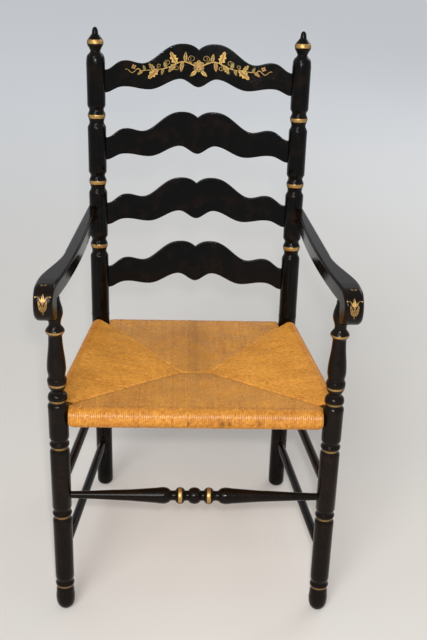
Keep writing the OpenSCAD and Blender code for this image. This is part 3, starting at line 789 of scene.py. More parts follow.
def edgeHeight(x, edge, k):
    # height of a scalloped edge at a distance from the middle, the drawing stretched by k
    for (x0, h0, power), (x1, h1, _) in zip(edge, edge[1:]):
        if x <= x1 * k:
            t = max(0.0, (x - x0 * k) / (x1 * k - x0 * k)) ** power
            return h0 + (h1 - h0) * (1 - math.cos(math.pi * t)) / 2
    return edge[-1][1]


def makeSlat(name, s):
    e = rakedX(s) - chair["rearRadius"] - slats["postGap"]
    reach = e + slats["intoPost"]
    half = np.linspace(0, reach, int(reach / slats["columnStep"]) + 1)
    xs = np.concatenate([-half[:0:-1], half])
    k = e / slats["drawnHalf"]
    top = np.array([edgeHeight(abs(x), slats["upperEdge"], k) for x in xs])
    low = np.array([edgeHeight(abs(x), slats["lowerEdge"], k) for x in xs])
    outline = np.concatenate([np.stack([xs, top], -1), np.stack([xs[::-1], low[::-1]], -1)])
    step = np.roll(outline, -1, 0) - np.roll(outline, 1, 0)
    inward = np.stack([step[:, 1], -step[:, 0]], -1)
    inward /= np.linalg.norm(inward, axis=1)[:, None]
    edge = roundedEdge(slats["edgeRadius"], slats["roundSteps"])
    rings = [(inset, fromFace - slats["thick"] / 2) for inset, fromFace in edge[::-1]]
    rings += [(inset, slats["thick"] / 2 - fromFace) for inset, fromFace in edge]
    points = []
    for inset, out in rings:
        flat = outline + inward * inset
        points.append(raked(flat[:, 0], bowDepth(flat[:, 0], out), s + flat[:, 1]))
    n = len(outline)
    faces = gridFaces(len(rings), n, closed=True)
    last = (len(rings) - 1) * n
    for i in range(n // 2 - 1):        # front and back faces run between the two edges
        a, b, c, d = i, i + 1, n - 2 - i, n - 1 - i
        faces.append((a, d, c, b))
        faces.append((last + a, last + b, last + c, last + d))
    piece = addPiece(name + "Board", np.concatenate(points), faces, materials["crossGrain"])
    crispEdges(piece)
    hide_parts(name)


for i, name in enumerate(("slat_bottom", "slat_lower", "slat_upper", "slat_top")):
    makeSlat(name, slats["first"] + i * slats["pitch"])
print("slats made")


# Arms with rounded edges and a rolled front
arms = {
    "frontHeight": 686.0,
    "rearHeight": 669.0,
    "thick": 33.0,
    "rearInset": 6.4,
    "rearWidth": 13.5,
    "overhang": 31.8,
    "inner": 2.2,
    "innerCurve": 2.45,
    "scrollRadius": 35.0,
    "scrollForward": 20.0,
    "scrollPoints": 19,
    "shoulder": 6.0,             # flat stretch behind the scroll
    "shoulderSteps": 4,
    "underStep": 17.5,
    "bulgeStart": 165.0,
    "bulgeEnd": -30.0,
    "outerLean": 0.0716,
    "edgeRadius": 4.6,
    "rounderAtScroll": {"outer": 1.1, "inner": 0.2},      # how much rounder the edges get there
    "rounderFrom": 25.0,
    "rounderTo": -25.0,
    "roundSteps": 7,
    "slabColumns": 90,
    "fittedRun": 45.0,           # the end that is shaped to the rear post
    "postGap": 0.1,
}
armRearY = chair["depth"] + (arms["rearHeight"] + arms["thick"] / 2 - chair["bend"]) * tand(chair["rake"])
armEndY = armRearY + chair["rearRadius"]
armRun = armEndY + arms["scrollForward"] + arms["scrollRadius"]
armSlope = (arms["frontHeight"] - arms["rearHeight"]) / armRearY
scrollZ = arms["frontHeight"] + arms["thick"] - arms["scrollRadius"]
innerRear = rearX(arms["rearHeight"]) + arms["rearInset"]
outerRear = innerRear + arms["rearWidth"]
innerFront = frontX(arms["frontHeight"]) - arms["inner"]
outerFront = frontX(arms["frontHeight"]) + arms["overhang"]


def armInnerX(y):
    t = np.minimum(1, (armEndY - y) / armRun)
    return innerRear + (innerFront - innerRear) * t ** arms["innerCurve"]


def armOuterX(y):
    start, end = arms["bulgeStart"], arms["bulgeEnd"]
    straight = outerRear + (armEndY - np.maximum(y, start)) * arms["outerLean"]
    atBulge = outerRear + (armEndY - start) * arms["outerLean"]
    return straight + (outerFront - atBulge) * smoothStep(np.clip((start - y) / (start - end), 0, 1))


def armProfile(inset):
    # side view drawn in by an inset: top row and bottom row, from the scroll's front to the back
    r = arms["scrollRadius"] - inset
    forward, shoulder = arms["scrollForward"], arms["shoulder"]
    back = -arms["underStep"] - inset
    topZ, underZ = arms["frontHeight"] + arms["thick"] - inset, arms["frontHeight"] + inset
    quarter = np.linspace(0, math.pi / 2, arms["scrollPoints"])
    under = np.linspace(0, math.acos((-forward - back) / r), arms["scrollPoints"])
    top = [(-forward - r * math.cos(a), scrollZ + r * math.sin(a)) for a in quarter]
    low = [(-forward - r * math.cos(a), scrollZ - r * math.sin(a)) for a in under]
    scrollEnd = low[-1][1]
    rise = np.linspace(0, 1, arms["shoulderSteps"] + 1)[1:]
    low += [(back, scrollEnd + (underZ - scrollEnd) * t) for t in rise]
    top += [(-forward + shoulder * t, topZ) for t in rise]
    for t in np.linspace(0, 1, arms["slabColumns"])[1:]:
        y = -forward + shoulder + t * (armRearY + forward - shoulder)
        top.append((y, topZ - armSlope * max(0, y)))
        y = back + t * (armRearY - back)
        low.append((y, underZ - armSlope * max(0, y)))
    return np.array(top), np.array(low[:0:-1])      # both rows share the point at the front


def fittedY(x, z):
    # an arm ends against the round rear post
    postY = chair["depth"] + (z - chair["bend"]) * tand(chair["rake"])
    across = np.abs(x - rearX(z))
    radius = chair["rearRadius"] + arms["postGap"]
    inside = np.sqrt(np.maximum(0, radius**2 - across**2)) / cosd(chair["rake"])
    return np.minimum(armRearY, postY - inside)


def armSideX(face, y, fromFace):
    return armInnerX(y) + fromFace if face == "inner" else armOuterX(y) - fromFace


def makeArm(name, side):
    edge = roundedEdge(arms["edgeRadius"], arms["roundSteps"])
    rings = [(*place, "inner") for place in edge[::-1]] + [(*place, "outer") for place in edge]
    plain = np.concatenate(armProfile(0))
    first, full = arms["rounderFrom"], arms["rounderTo"]
    toScroll = smoothStep(np.clip((first - plain[:, 0]) / (first - full), 0, 1))
    points = []
    for inset, fromFace, face in rings:
        grow = 1 + arms["rounderAtScroll"][face] * toScroll
        outline = plain + (np.concatenate(armProfile(inset)) - plain) * grow[:, None]
        fromFace = fromFace * grow
        y, z = outline[:, 0], outline[:, 1]
        x = armSideX(face, y, fromFace)
        t = np.clip((y - armRearY) / arms["fittedRun"] + 1, 0, 1)
        y = y + t * (fittedY(x, z) - armRearY)
        x = armSideX(face, y, fromFace)
        points.append(leaned(np.stack([x * side, y, z], -1)))
    n = len(plain)
    faces = [(f[0],) + f[:0:-1] for f in gridFaces(len(rings), n, closed=True)]
    last = (len(rings) - 1) * n
    for a in range((n - 1) // 2):      # inner and outer faces run between the top and bottom rows
        c, d = n - 1 - a, (n - a) % n
        loop = [a, a + 1, c, d] if d != a else [a, a + 1, c]
        faces.append(tuple(loop))
        faces.append(tuple(last + k for k in loop[::-1]))
    if side < 0:
        faces = [f[::-1] for f in faces]
    piece = addPiece(name + "Rail", np.concatenate(points), faces, materials["armGrain"])
    crispEdges(piece)
    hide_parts(name)


makeArm("arm_left", -1)
makeArm("arm_right", 1)
print("arms made")


# Woven rush seat, strand by strand
weave = {
    "pitch": 3.75,
    "thick": 4.1,
    "thickRange": (0.94, 1.05),
    "overlap": 0.70,             # half width of a strand in pitches
    "widthChange": 0.16,         # from strand to strand
    "swelling": 0.16,            # along a strand
    "swellLengths": (9.0, 8.0),      # of width and thickness
    "sides": 8,
    "arcStep": 11.0,
    "topStep": 6.0,
    "underStep": 8.4,
    "endRun": 11.0,              # stretch at a gore's end where the roll gets thinner
    "frontRounding": 7.0,
    "sideRounding": 3.0,
    "cornerInset": 2.0,
    "foldStep": 0.5,
    "foldSoftness": 14.0,
    "middleY": 180.0,
    "bridgeHalf": 30.0,
    "frontTop": 460.6,
    "middleTop": 446.0,
    "rearTop": 439.0,
    "frontLow": 419.4,
    "middleLow": 424.0,
    "rearLow": 407.0,
    "frontRail": {"height": 440.0, "roll": 21.2},
    "rearRail": {"height": 423.0, "roll": 16.6},
    "sideRail": {"frontHeight": 452.0, "rearHeight": 435.0, "roll": 15.6},
    "seed": 5635,
    # how the strands stray from their lines, in mm
    "wander": {
        "sway": {"front": 1.4, "back": 1.4, "left": 4.0, "right": 4.0},
        "swayLengths": (34.0, 26.0),      # along and across the strands
        "swayPlace": {"front": 0.0, "back": 9.1, "left": 3.7, "right": 0.0},
        "shift": 0.10,
        "lump": 2.72,
        "lumpLengths": (46.0, 40.0),
        "straySideways": 0.30,
        "strayUp": 0.39,
        "strayLengths": (13.0, 10.0),
        "leastShare": 0.15,               # of sway and lump, at the roll and the fold
        "dip": {"front": 2.0, "side": 2.0, "rear": 0.9},      # at the fold
        "dipReach": 8.0,
        "raggedFold": 1.6,
    },
    # tone and coat make a strand paler and glossier, brown makes it darker
    "shades": {
        "toneSpread": 0.035,
        "darkShare": 0.02,
        "darkStep": 0.12,
        # the roll and the side gores get darker tones than the front and back gores: painted shade against
        # the stronger light they catch
        "tones": {"roll": 0.32, "under": 0.45, "side": 0.50, "front": 0.56, "back": 0.56},
        "plainCoat": 0.06,
        "polish": 0.85,                   # gloss of the front roll, which legs have rubbed
        "polishTurn": (0.42, 0.36),       # where on the roll, as the height of its normal, and how far
        # painted shade: brown along the folds where the gores meet, darkest at the front fold
        "foldShade": {"front": 0.40, "side": 0.20, "rear": 0.06},      # in the folds
        "foldShadeReach": 4.5,
        "rearBand": 0.34,                 # darker strands at the middle of the back gore
        "rearBandHalf": 34.0,
        "apexBand": 0.26,                 # darker rush where the other gores meet
        "apexReach": (55.0, 42.0),
        "hiddenShare": 0.3,               # of both, on the roll and below
        "stains": [(-15.0, 3.0), (49.0, 5.0), (63.0, 3.5), (118.0, 2.5)],      # place and half width
        "stainDepth": 1.2,
        "stainTurn": (-0.10, 0.28),
        "brownest": 0.9,
    },
}
wander, shades = weave["wander"], weave["shades"]
gores = {
    "front": (-240.4, 240.4),
    "back": (-188.6, 188.6),
    "left": (21.5, 427.5),
    "right": (21.5, 427.5),
}
cornerFrontX = frontX(weave["frontRail"]["height"]) - weave["cornerInset"]
cornerRearX = rearX(weave["rearRail"]["height"]) - weave["cornerInset"]


def softMin(a, b, soft):
    h = min(1.0, max(0.0, 0.5 + 0.5 * (b - a) / soft))
    return b * (1 - h) + a * h - soft * h * (1 - h)


def frontFold(x):
    # depth of the fold that ends the front gore at a place across the seat
    slope = weave["middleY"] / (cornerFrontX - weave["bridgeHalf"])
    return softMin(weave["middleY"], (cornerFrontX - abs(x)) * slope, weave["foldSoftness"])


def rearFold(x):
    slope = (chair["depth"] - weave["middleY"]) / (cornerRearX - weave["bridgeHalf"])
    return weave["middleY"] + max(0.0, abs(x) - weave["bridgeHalf"]) * slope


def levelAt(y, level):
    # height of the weave's top or underside from the front over the middle to the rear
    front, middle, rear = weave["front" + level], weave["middle" + level], weave["rear" + level]
    if y < weave["middleY"]:
        return front + (middle - front) * y / weave["middleY"]
    return middle + (rear - middle) * (y - weave["middleY"]) / (chair["depth"] - weave["middleY"])


def sideRailX(y):
    t = y / chair["depth"]
    return frontX(weave["sideRail"]["frontHeight"]) * (1 - t) + rearX(weave["sideRail"]["rearHeight"]) * t


def sideRailZ(y):
    t = y / chair["depth"]
    return weave["sideRail"]["frontHeight"] * (1 - t) + weave["sideRail"]["rearHeight"] * t


railTurn = math.atan2(sideRailX(0) - sideRailX(chair["depth"]), chair["depth"])


def sideFold(v):
    # how far a strand of a side gore runs in from its rail, square to the rail
    run = 0.0
    while True:
        x, y = sideRailX(v) - run * math.cos(railTurn), v - run * math.sin(railTurn)
        atSeam = y <= frontFold(x) if y < weave["middleY"] else y >= rearFold(x)
        if atSeam or x <= weave["bridgeHalf"]:
            return run
        run += weave["foldStep"]


def strandPath(axisZ, rollRadius, run, foldTop, foldLow, layer):
    # centre line of a strand in its own upright plane: from the fold over the rail and back below
    # each place is its distance in, height, the two parts of its normal, how near the fold, and face
    r = rollRadius - layer
    topZ, lowZ = foldTop - layer - axisZ, foldLow + layer - axisZ
    topTurn = math.atan2(topZ, run) + math.acos(min(1.0, r / math.hypot(run, topZ)))
    lowTurn = math.atan2(lowZ, run) - math.acos(min(1.0, r / math.hypot(run, lowZ))) + 2 * math.pi
    path = []
    upP, upZ = math.cos(topTurn), math.sin(topTurn)
    startP, startZ = r * upP, r * upZ
    steps = max(2, int(math.hypot(run - startP, topZ - startZ) / weave["topStep"]))
    for t in np.arange(steps) / steps:
        path.append((run + (startP - run) * t, topZ + (startZ - topZ) * t, upP, upZ, 1 - t, 1))
    turns = max(4, int((lowTurn - topTurn) / math.radians(weave["arcStep"])))
    for i in range(turns + 1):
        a = topTurn + (lowTurn - topTurn) * i / turns
        path.append((r * math.cos(a), r * math.sin(a), math.cos(a), math.sin(a), 0, 0))
    downP, downZ = math.cos(lowTurn), math.sin(lowTurn)
    endP, endZ = r * downP, r * downZ
    steps = max(2, int(math.hypot(run - endP, lowZ - endZ) / weave["underStep"]))
    for t in np.arange(1, steps + 1) / steps:
        path.append((endP + (run - endP) * t, endZ + (lowZ - endZ) * t, downP, downZ, t, -1))
    return np.array(path)


def goreStrand(gore, v, layer):
    # rail point, inward direction, path and run of the strand at a place along a gore
    first, last = gores[gore]
    toEnd = max(0.0, 1 - min(v - first, last - v) / weave["endRun"])
    rounding = weave["frontRounding"] if gore == "front" else weave["sideRounding"]
    rounding *= 1 - math.sqrt(1 - toEnd**2)
    if gore == "front":
        run = frontFold(v)
        rail = (v, 0.0, weave["frontRail"]["height"])
        inward, roll = (0.0, 1.0), weave["frontRail"]["roll"]
    elif gore == "back":
        run = chair["depth"] - rearFold(v)
        rail = (v, chair["depth"], weave["rearRail"]["height"])
        inward, roll = (0.0, -1.0), weave["rearRail"]["roll"]
    else:
        side = 1 if gore == "right" else -1
        run = sideFold(v)
        rail = (side * sideRailX(v), v, sideRailZ(v))
        inward, roll = (-side * math.cos(railTurn), -math.sin(railTurn)), weave["sideRail"]["roll"]
    foldY = rail[1] + inward[1] * run
    top, low = levelAt(foldY, "Top"), levelAt(foldY, "Low")
    path = strandPath(rail[2], roll - rounding, run, top, low, layer)
    return np.array(rail), np.array([*inward, 0.0]), path, run


def strandPlaces(first, last, rng):
    count = int(round((last - first) / weave["pitch"]))
    widths = np.array([1 + rng.uniform(-1, 1) * weave["widthChange"] for _ in range(count)])
    widths *= count / widths.sum()
    steps = widths * (last - first) / count
    return first + np.cumsum(steps) - steps / 2, widths


def drift(x, y, z):
    return noise.noise(Vector((x, y, z)))


def hump(value, middle, spread):
    return ((value - middle) / spread) ** 2


def strandTone(gore, face, upZ):
    # tone and coat of a strand over the rail, below the seat or on its top; the darker roll and side tones
    # are painted shade
    if face < 0:
        return shades["tones"]["under"], shades["plainCoat"]
    if face > 0:
        return shades["tones"][gore if gore in ("front", "back") else "side"], shades["plainCoat"]
    rubbed = math.exp(-hump(upZ, *shades["polishTurn"])) if gore == "front" else 0.0
    return shades["tones"]["roll"], shades["plainCoat"] + shades["polish"] * rubbed


def strandBrown(gore, seam, face, v, centre, upZ, toFold):
    # brown from painted shade in the folds, from darker rush at the middle and from stains on the front roll
    brown = shades["foldShade"][seam] * max(0.0, 1 - toFold / shades["foldShadeReach"])
    if gore == "back":
        band = shades["rearBand"] * max(0.0, 1 - abs(v) / shades["rearBandHalf"])
    else:
        reachX, reachY = shades["apexReach"]
        apart = hump(centre[0], 0.0, reachX) + hump(centre[1], weave["middleY"], reachY)
        band = shades["apexBand"] * math.exp(-apart)
    brown += band * (1.0 if face > 0 else shades["hiddenShare"])
    if gore == "front" and face == 0:
        for middle, half in shades["stains"]:
            apart = hump(v, middle, half) + hump(upZ, *shades["stainTurn"])
            brown += shades["stainDepth"] * math.exp(-apart)
    return min(shades["brownest"], brown)


def makeStrand(gore, v, width, rng):
    # rings of points in mm, how far along the strand each ring is, and how it looks there
    thick = weave["thick"] * rng.uniform(*weave["thickRange"])
    rail, inward, path, run = goreStrand(gore, v, thick / 2)
    ownTone = rng.gauss(0.0, shades["toneSpread"])
    if rng.random() < shades["darkShare"]:
        ownTone -= shades["darkStep"]
    mark = rng.random()
    ragged = rng.uniform(-1, 1) * wander["raggedFold"]
    shift = rng.uniform(-1, 1) * wander["shift"]
    rearSeam = gore == "back" or (gore != "front" and v > weave["middleY"])
    seam = "rear" if rearSeam else "front" if gore == "front" else "side"
    lead = np.array([-inward[1], inward[0], 0.0])      # across the strand, along the rail
    upright = np.array([0.0, 0.0, 1.0])
    swayAlong, swayAcross = wander["swayLengths"]
    lumpAlong, lumpAcross = wander["lumpLengths"]
    strayAside, strayUp = wander["strayLengths"]
    wideLength, tallLength = weave["swellLengths"]
    ringAngles = np.linspace(0, 2 * math.pi, weave["sides"], endpoint=False) - math.pi / 2
    along, previous = 0.0, None
    rings, alongs, looks = [], [], []
    for p, z, upP, upZ, free, face in path:
        taper = min(1.0, 4 * free * (1 - free) + wander["leastShare"]) if face else 0.0
        swayed = drift(p / swayAlong, v / swayAcross, wander["swayPlace"][gore] + face)
        sway = wander["sway"][gore] * swayed * taper + shift
        sway += wander["straySideways"] * drift(along / strayAside, v * 3.1, 4.0)
        lump = wander["lump"] * drift(p / lumpAlong + 7, v / lumpAcross, face * 5.0) * taper
        lump += wander["strayUp"] * drift(along / strayUp, v * 2.3, 1.0)
        toFold = (1 - free) * run if face else run
        if face and toFold < wander["dipReach"]:
            lump -= wander["dip"][seam] * (1 - toFold / wander["dipReach"]) ** 2
        up = inward * upP + upright * upZ
        centre = rail + inward * (p + ragged * free**6) + lead * sway + upright * z + up * lump
        if previous is not None:
            along += float(np.linalg.norm(centre - previous))
        previous = centre
        wide = weave["pitch"] * width * weave["overlap"]
        wide *= 1 + weave["swelling"] * drift(along / wideLength, v, 2.0)
        tall = thick / 2 * (1 + weave["swelling"] * drift(along / tallLength, v, 8.0))
        rings.append([centre + lead * wide * math.cos(a) + up * tall * math.sin(a) for a in ringAngles])
        alongs.append(along)
        tone, coat = strandTone(gore, face, upZ)
        looks.append((ownTone + tone, strandBrown(gore, seam, face, v, centre, upZ, toFold), mark, coat))
    return rings, alongs, looks


def makeRushStrands():
    rng = random.Random(weave["seed"])
    sides = weave["sides"]
    points, faces, uvs, looks = [], [], [], []
    base = count = 0
    for gore, (first, last) in gores.items():
        for v, width in zip(*strandPlaces(first, last, rng)):
            rings, alongs, ringLooks = makeStrand(gore, v, width, rng)
            points.append(leaned(np.array(rings).reshape(-1, 3)))
            faces += gridFaces(len(rings), sides, base, closed=True)
            for near, far in zip(alongs, alongs[1:]):
                u0, u1 = near / 1000, far / 1000
                for k in range(sides):
                    a, b = k / sides, (k + 1) / sides
                    uvs += [(u0, a), (u0, b), (u1, b), (u1, a)]
            end = base + (len(rings) - 1) * sides
            faces += [tuple(range(base, base + sides))[::-1], tuple(range(end, end + sides))]
            uvs += [(0.0, 0.0)] * (2 * sides)
            looks += [look for look in ringLooks for _ in range(sides)]
            base = end + sides
            count += 1
    piece = addPiece("rushWeave", np.concatenate(points), faces, materials["rush"])
    layer = piece.data.uv_layers.new(name="strandPlace")
    layer.data.foreach_set("uv", np.array(uvs, np.float32).ravel())
    colours = piece.data.attributes.new("strandLook", "FLOAT_COLOR", "POINT")
    colours.data.foreach_set("color", np.array(looks, np.float32).ravel())
    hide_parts("rush_seat")
    print("rush strands:", count, "faces", len(faces))


packing = {"under": 3.6, "inset": 1.0, "lines": 60, "places": 34}


def makeRushPacking():
    # packing seen between the strands, one sheet for each gore, coloured near black as painted shade in the
    # gaps
    points, faces = [], []
    wide = packing["places"]
    for gore, (first, last) in gores.items():
        faces += gridFaces(packing["lines"], wide, len(points))
        for v in np.linspace(first + packing["inset"], last - packing["inset"], packing["lines"]):
            rail, inward, path = goreStrand(gore, v, packing["under"])[:3]
            keep = np.linspace(0, len(path) - 1, wide)
            low = np.floor(keep).astype(int)
            high = np.minimum(low + 1, len(path) - 1)
            t = (keep - low)[:, None]
            for p, z in (path[low] * (1 - t) + path[high] * t)[:, :2]:
                points.append(rail + inward * p + (0.0, 0.0, z))
    piece = addPiece("rushPacking", leaned(points), faces, materials["shadedRushHeart"])
    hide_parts("stuffing_front", "stuffing_back", "stuffing_left", "stuffing_right")


makeRushStrands()
makeRushPacking()
print("rush seat woven")


# Gilt painting on the top slat and the arm fronts
brush = {
    "strokeFade": (0.9, 0.75),      # tone at the middle and the far side of a stroke
    "leafFade": 0.75,               # and between the rim and the vein of a leaf
    "veinTones": (0.38, 0.05),      # at the vein, on either side of it
    "veinHalf": 0.2,                # bare, in mm
    "leafPoints": 16,
    "serratedPoints": 36,
    "dotFade": (0.7, 0.4),
    "dotPoints": 16,
    "dotAside": 0.2,                # of the radius, where the light falls off
}


def lineAcross(line):
    step = np.gradient(line, axis=0)
    step /= np.linalg.norm(step, axis=1)[:, None]
    return np.stack([-step[:, 1], step[:, 0]], -1)


class GiltSheet:
    # collects flat painted shapes and lays them on a surface, each a little above the one before
    def __init__(self, place):
        self.place = place
        self.points = []
        self.faces = []
        self.tones = []
        self.lift = 0.0
        self.tint = (0.0, 0.0)      # green, copper

    def addStrip(self, left, right, toneLeft, toneMid, toneRight):
        shading = ((0.0, toneLeft), (0.25, (toneLeft + toneMid) / 2), (0.5, toneMid), (1.0, toneRight))
        self.faces += gridFaces(len(left), len(shading), len(self.points))
        for a, b in zip(left, right):
            for t, tone in shading:
                self.points.append(self.place(a[0] + (b[0] - a[0]) * t, a[1] + (b[1] - a[1]) * t, self.lift))
                self.tones.append((tone, *self.tint, 1.0))

    def addStroke(self, line, widths, tone):
        # a brush line that runs from one width to another
        line = np.array(line, float)
        across = lineAcross(line) * np.linspace(*widths, len(line))[:, None] / 2
        middle, far = brush["strokeFade"]
        self.addStrip(line + across, line - across, tone, tone * middle, tone * far)

    def addLeaf(self, x, y, turn, length, wide, tone, bend=0.0, serrate=0.0):
        # two halves beside a bare vein, bright at the rim and fading to the vein
        t = np.linspace(0, 1, brush["serratedPoints" if serrate else "leafPoints"])
        spine = np.stack([t * length, bend * np.sin(math.pi * t / 2) * t], -1)
        body = wide / 2 * np.sin(math.pi * t**0.75) ** 0.8 * (1 - serrate * np.sin(3.5 * math.pi * t) ** 2)
        across = lineAcross(spine)
        spin = np.array([[cosd(turn), sind(turn)], [-sind(turn), cosd(turn)]])
        for sign, veinTone in zip((-1, 1), brush["veinTones"]):
            rim = spine + across * (sign * np.maximum(brush["veinHalf"], body)[:, None])
            vein = spine + across * sign * brush["veinHalf"]
            placed = [(x, y) + line @ spin for line in (rim, vein)]
            self.addStrip(*placed, tone, tone * brush["leafFade"], tone * veinTone)

    def addDot(self, x, y, radius, tone):
        turns = np.linspace(0, 2 * math.pi, brush["dotPoints"])
        ring = [(x + radius * math.cos(a), y + radius * math.sin(a)) for a in turns]
        aside = radius * brush["dotAside"]
        middle, far = brush["dotFade"]
        self.addStrip(ring, [(x - aside, y + aside)] * len(ring), tone, tone * middle, tone * far)

    def finish(self, name):
        piece = addPiece(name, np.array(self.points), self.faces, materials["gilt"])
        tones = piece.data.attributes.new("giltTone", "FLOAT_COLOR", "POINT")
        tones.data.foreach_set("color", np.array(self.tones, np.float32).ravel())


stencil = {
    "lift": 0.22,        # mm in front of the slat
    # how far in front of that each layer lies, with the rose's rings and petals over each other
    "layers": {"curls": 0.0, "stem": 0.03, "leaves": 0.06, "broadLeaves": 0.09, "rose": 0.12, "heart": 0.24},
    "ringLift": 0.05,
    "petalLift": 0.004,
    "middle": 54.5,      # height over the slat's lower corners
    "rise": (13.0, 34.0, 26.0),       # of the vine over the lobes: height, place and half width
    "dip": (3.0, 14.0),               # under the rose: depth and half width
    "fall": 0.075,
    "stem": (9, 124, (2.4, 0.96), 0.60),      # start, end, widths, tone
    # distance out, turn, length, width, tone, bend, green, copper
    "leaves": [
        (26, 70, 20, 8.0, 0.52, 4, 0.2, 0.0), (33, -66, 22, 8.5, 0.50, -4, 0.0, 0.15),
        (70, 60, 15, 6.5, 0.50, 3, 0.55, 0.0), (76, -52, 14, 6.0, 0.48, -3, 0.2, 0.0),
        (112, 46, 13, 5.5, 0.52, 3, 0.45, 0.0), (116, -26, 15, 6.0, 0.60, -3, 0.0, 0.2),
    ],
    "broadLeaves": [
        (44, 48, 27, 16.0, 0.80, 6, 0.0, 0.0), (50, -40, 22, 12.0, 0.56, -4, 0.25, 0.0),
        (86, -24, 29, 17.0, 0.82, -6, 0.0, 0.1), (92, 34, 18, 10.0, 0.52, 3, 0.15, 0.0),
    ],
    "serration": 0.42,
    # distance out, rise, size, turns, tone
    "curls": [
        (15, 15, 8.5, 1.45, 0.30), (47, -12, 6.5, 1.4, 0.26),
        (66, 16, 7.0, 1.5, 0.28), (84, 12, 5.0, 1.3, 0.26),
    ],
    "curlTightness": 0.72,
    "curlWidths": (1.3, 0.8),
    "tail": (122, 33, 4.6, (1.9, 0.9), 0.52),      # start, length, wave, widths, tone
    "berryPlace": (134, 9.5, 2.0, 0.50),      # distance out, height over the vine, radius, tone
    "berries": [(0, 0), (4.0, 1.4), (1.8, -3.8), (5.6, -2.6)],
    # petals, distance out, length, width, tone
    "rose": [(6, 2.0, 11.0, 9.4, 0.46), (5, 1.0, 6.8, 6.0, 0.40)],
    "roseRise": 2.0,
    "roseHeart": (2.4, 0.55),
    "rootLeaf": (5, -9, 36, 18, 7.5, 0.78, 3.0),      # out, height, turn, length, width, tone, bend
    "seed": 23,          # the two sides were laid on by hand, never quite alike
}
topSlatS = slats["first"] + 3 * slats["pitch"]


def onSlat(x, y, lift):
    out = -slats["thick"] / 2 - stencil["lift"] - lift
    return raked(x, bowDepth(x, out), topSlatS + y)


def vineHeight(x):
    # the vine rises over the lobes of the slat and falls to both sides
    far = abs(x)
    rise, place, half = stencil["rise"]
    dip, dipHalf = stencil["dip"]
    over = rise * math.exp(-hump(far, place, half)) - dip * math.exp(-hump(far, 0.0, dipHalf))
    return stencil["middle"] + over - stencil["fall"] * far


def curlLine(side, x, rise, size, turns):
    line = []
    for t in np.linspace(0, 1, 40):
        a = 2 * math.pi * turns * t
        r = size * (1 - stencil["curlTightness"] * t)
        lift = math.copysign(size - r * math.cos(a), rise)
        line.append((side * (x + r * math.sin(a)), vineHeight(x) + rise * 0.25 + lift * 0.9))
    return line


def paintVine(sheet, side, hand):
    layers = stencil["layers"]
    sheet.lift = layers["curls"]
    for x, rise, size, turns, tone in stencil["curls"]:
        sheet.addStroke(curlLine(side, x, rise, size, turns), stencil["curlWidths"], tone)
    sheet.lift = layers["stem"]
    start, end, widths, tone = stencil["stem"]
    stem = [(side * x, vineHeight(x)) for x in np.linspace(start, end, 70)]
    sheet.addStroke(stem, widths, tone)
    sheet.lift = layers["leaves"]
    for x, turn, length, wide, tone, bend, green, copper in stencil["leaves"]:
        sheet.tint = (green, copper)
        x, turn = x + hand.uniform(-2, 2), turn + hand.uniform(-9, 9)
        length *= hand.uniform(0.88, 1.08)
        angle = turn if side > 0 else 180 - turn
        tone *= hand.uniform(0.6, 1.0)
        sheet.addLeaf(side * x, vineHeight(x), angle, length, wide, tone, side * bend)
    sheet.lift = layers["broadLeaves"]
    for x, turn, length, wide, tone, bend, green, copper in stencil["broadLeaves"]:
        sheet.tint = (green, copper)
        x, turn = x + hand.uniform(-2, 2), turn + hand.uniform(-7, 7)
        angle = turn if side > 0 else 180 - turn
        tone *= hand.uniform(0.8, 1.0)
        sheet.addLeaf(side * x, vineHeight(x), angle, length, wide, tone, side * bend, stencil["serration"])
    sheet.tint = (0.0, 0.0)
    sheet.lift = layers["stem"]
    start, length, wave, widths, tone = stencil["tail"]
    base = vineHeight(start)
    tail = [
        (side * (start + length * t), base + wave * math.sin(2.7 * math.pi * t) * (1 - 0.3 * t))
        for t in np.linspace(0, 1, 44)
    ]
    sheet.addStroke(tail, widths, tone)
    sheet.tint = (0.0, 0.35)
    berryX, over, radius, tone = stencil["berryPlace"]
    for out, rise in stencil["berries"]:
        sheet.addDot(side * (berryX + out), base + over + rise, radius, tone)
    sheet.tint = (0.0, 0.0)


def makeStencil():
    sheet = GiltSheet(onSlat)
    layers = stencil["layers"]
    hand = random.Random(stencil["seed"])
    for side in (-1, 1):
        paintVine(sheet, side, hand)
    centre = stencil["middle"] + stencil["roseRise"]      # a wild rose in the middle, petals over petals
    for ring, (count, start, reach, wide, tone) in enumerate(stencil["rose"]):
        for k in range(count):
            sheet.lift = layers["rose"] + stencil["ringLift"] * ring + stencil["petalLift"] * k
            sheet.tint = (0.20 * (k % 2), 0.30 * ring)
            a = 90 + 360 / count * (k + 0.5 * ring)
            sheet.addLeaf(start * cosd(a), centre + start * sind(a), a, reach, wide, tone - 0.10 * (k % 3))
    sheet.lift = layers["heart"]
    sheet.tint = (0.0, 0.5)
    sheet.addDot(0, centre, *stencil["roseHeart"])
    sheet.lift = layers["broadLeaves"]
    sheet.tint = (0.15, 0.0)
    out, height, turn, length, wide, tone, bend = stencil["rootLeaf"]
    for side in (-1, 1):
        sheet.addLeaf(side * out, centre + height, -90 + side * turn, length, wide, tone, side * bend)
    sheet.finish("slatStencil")


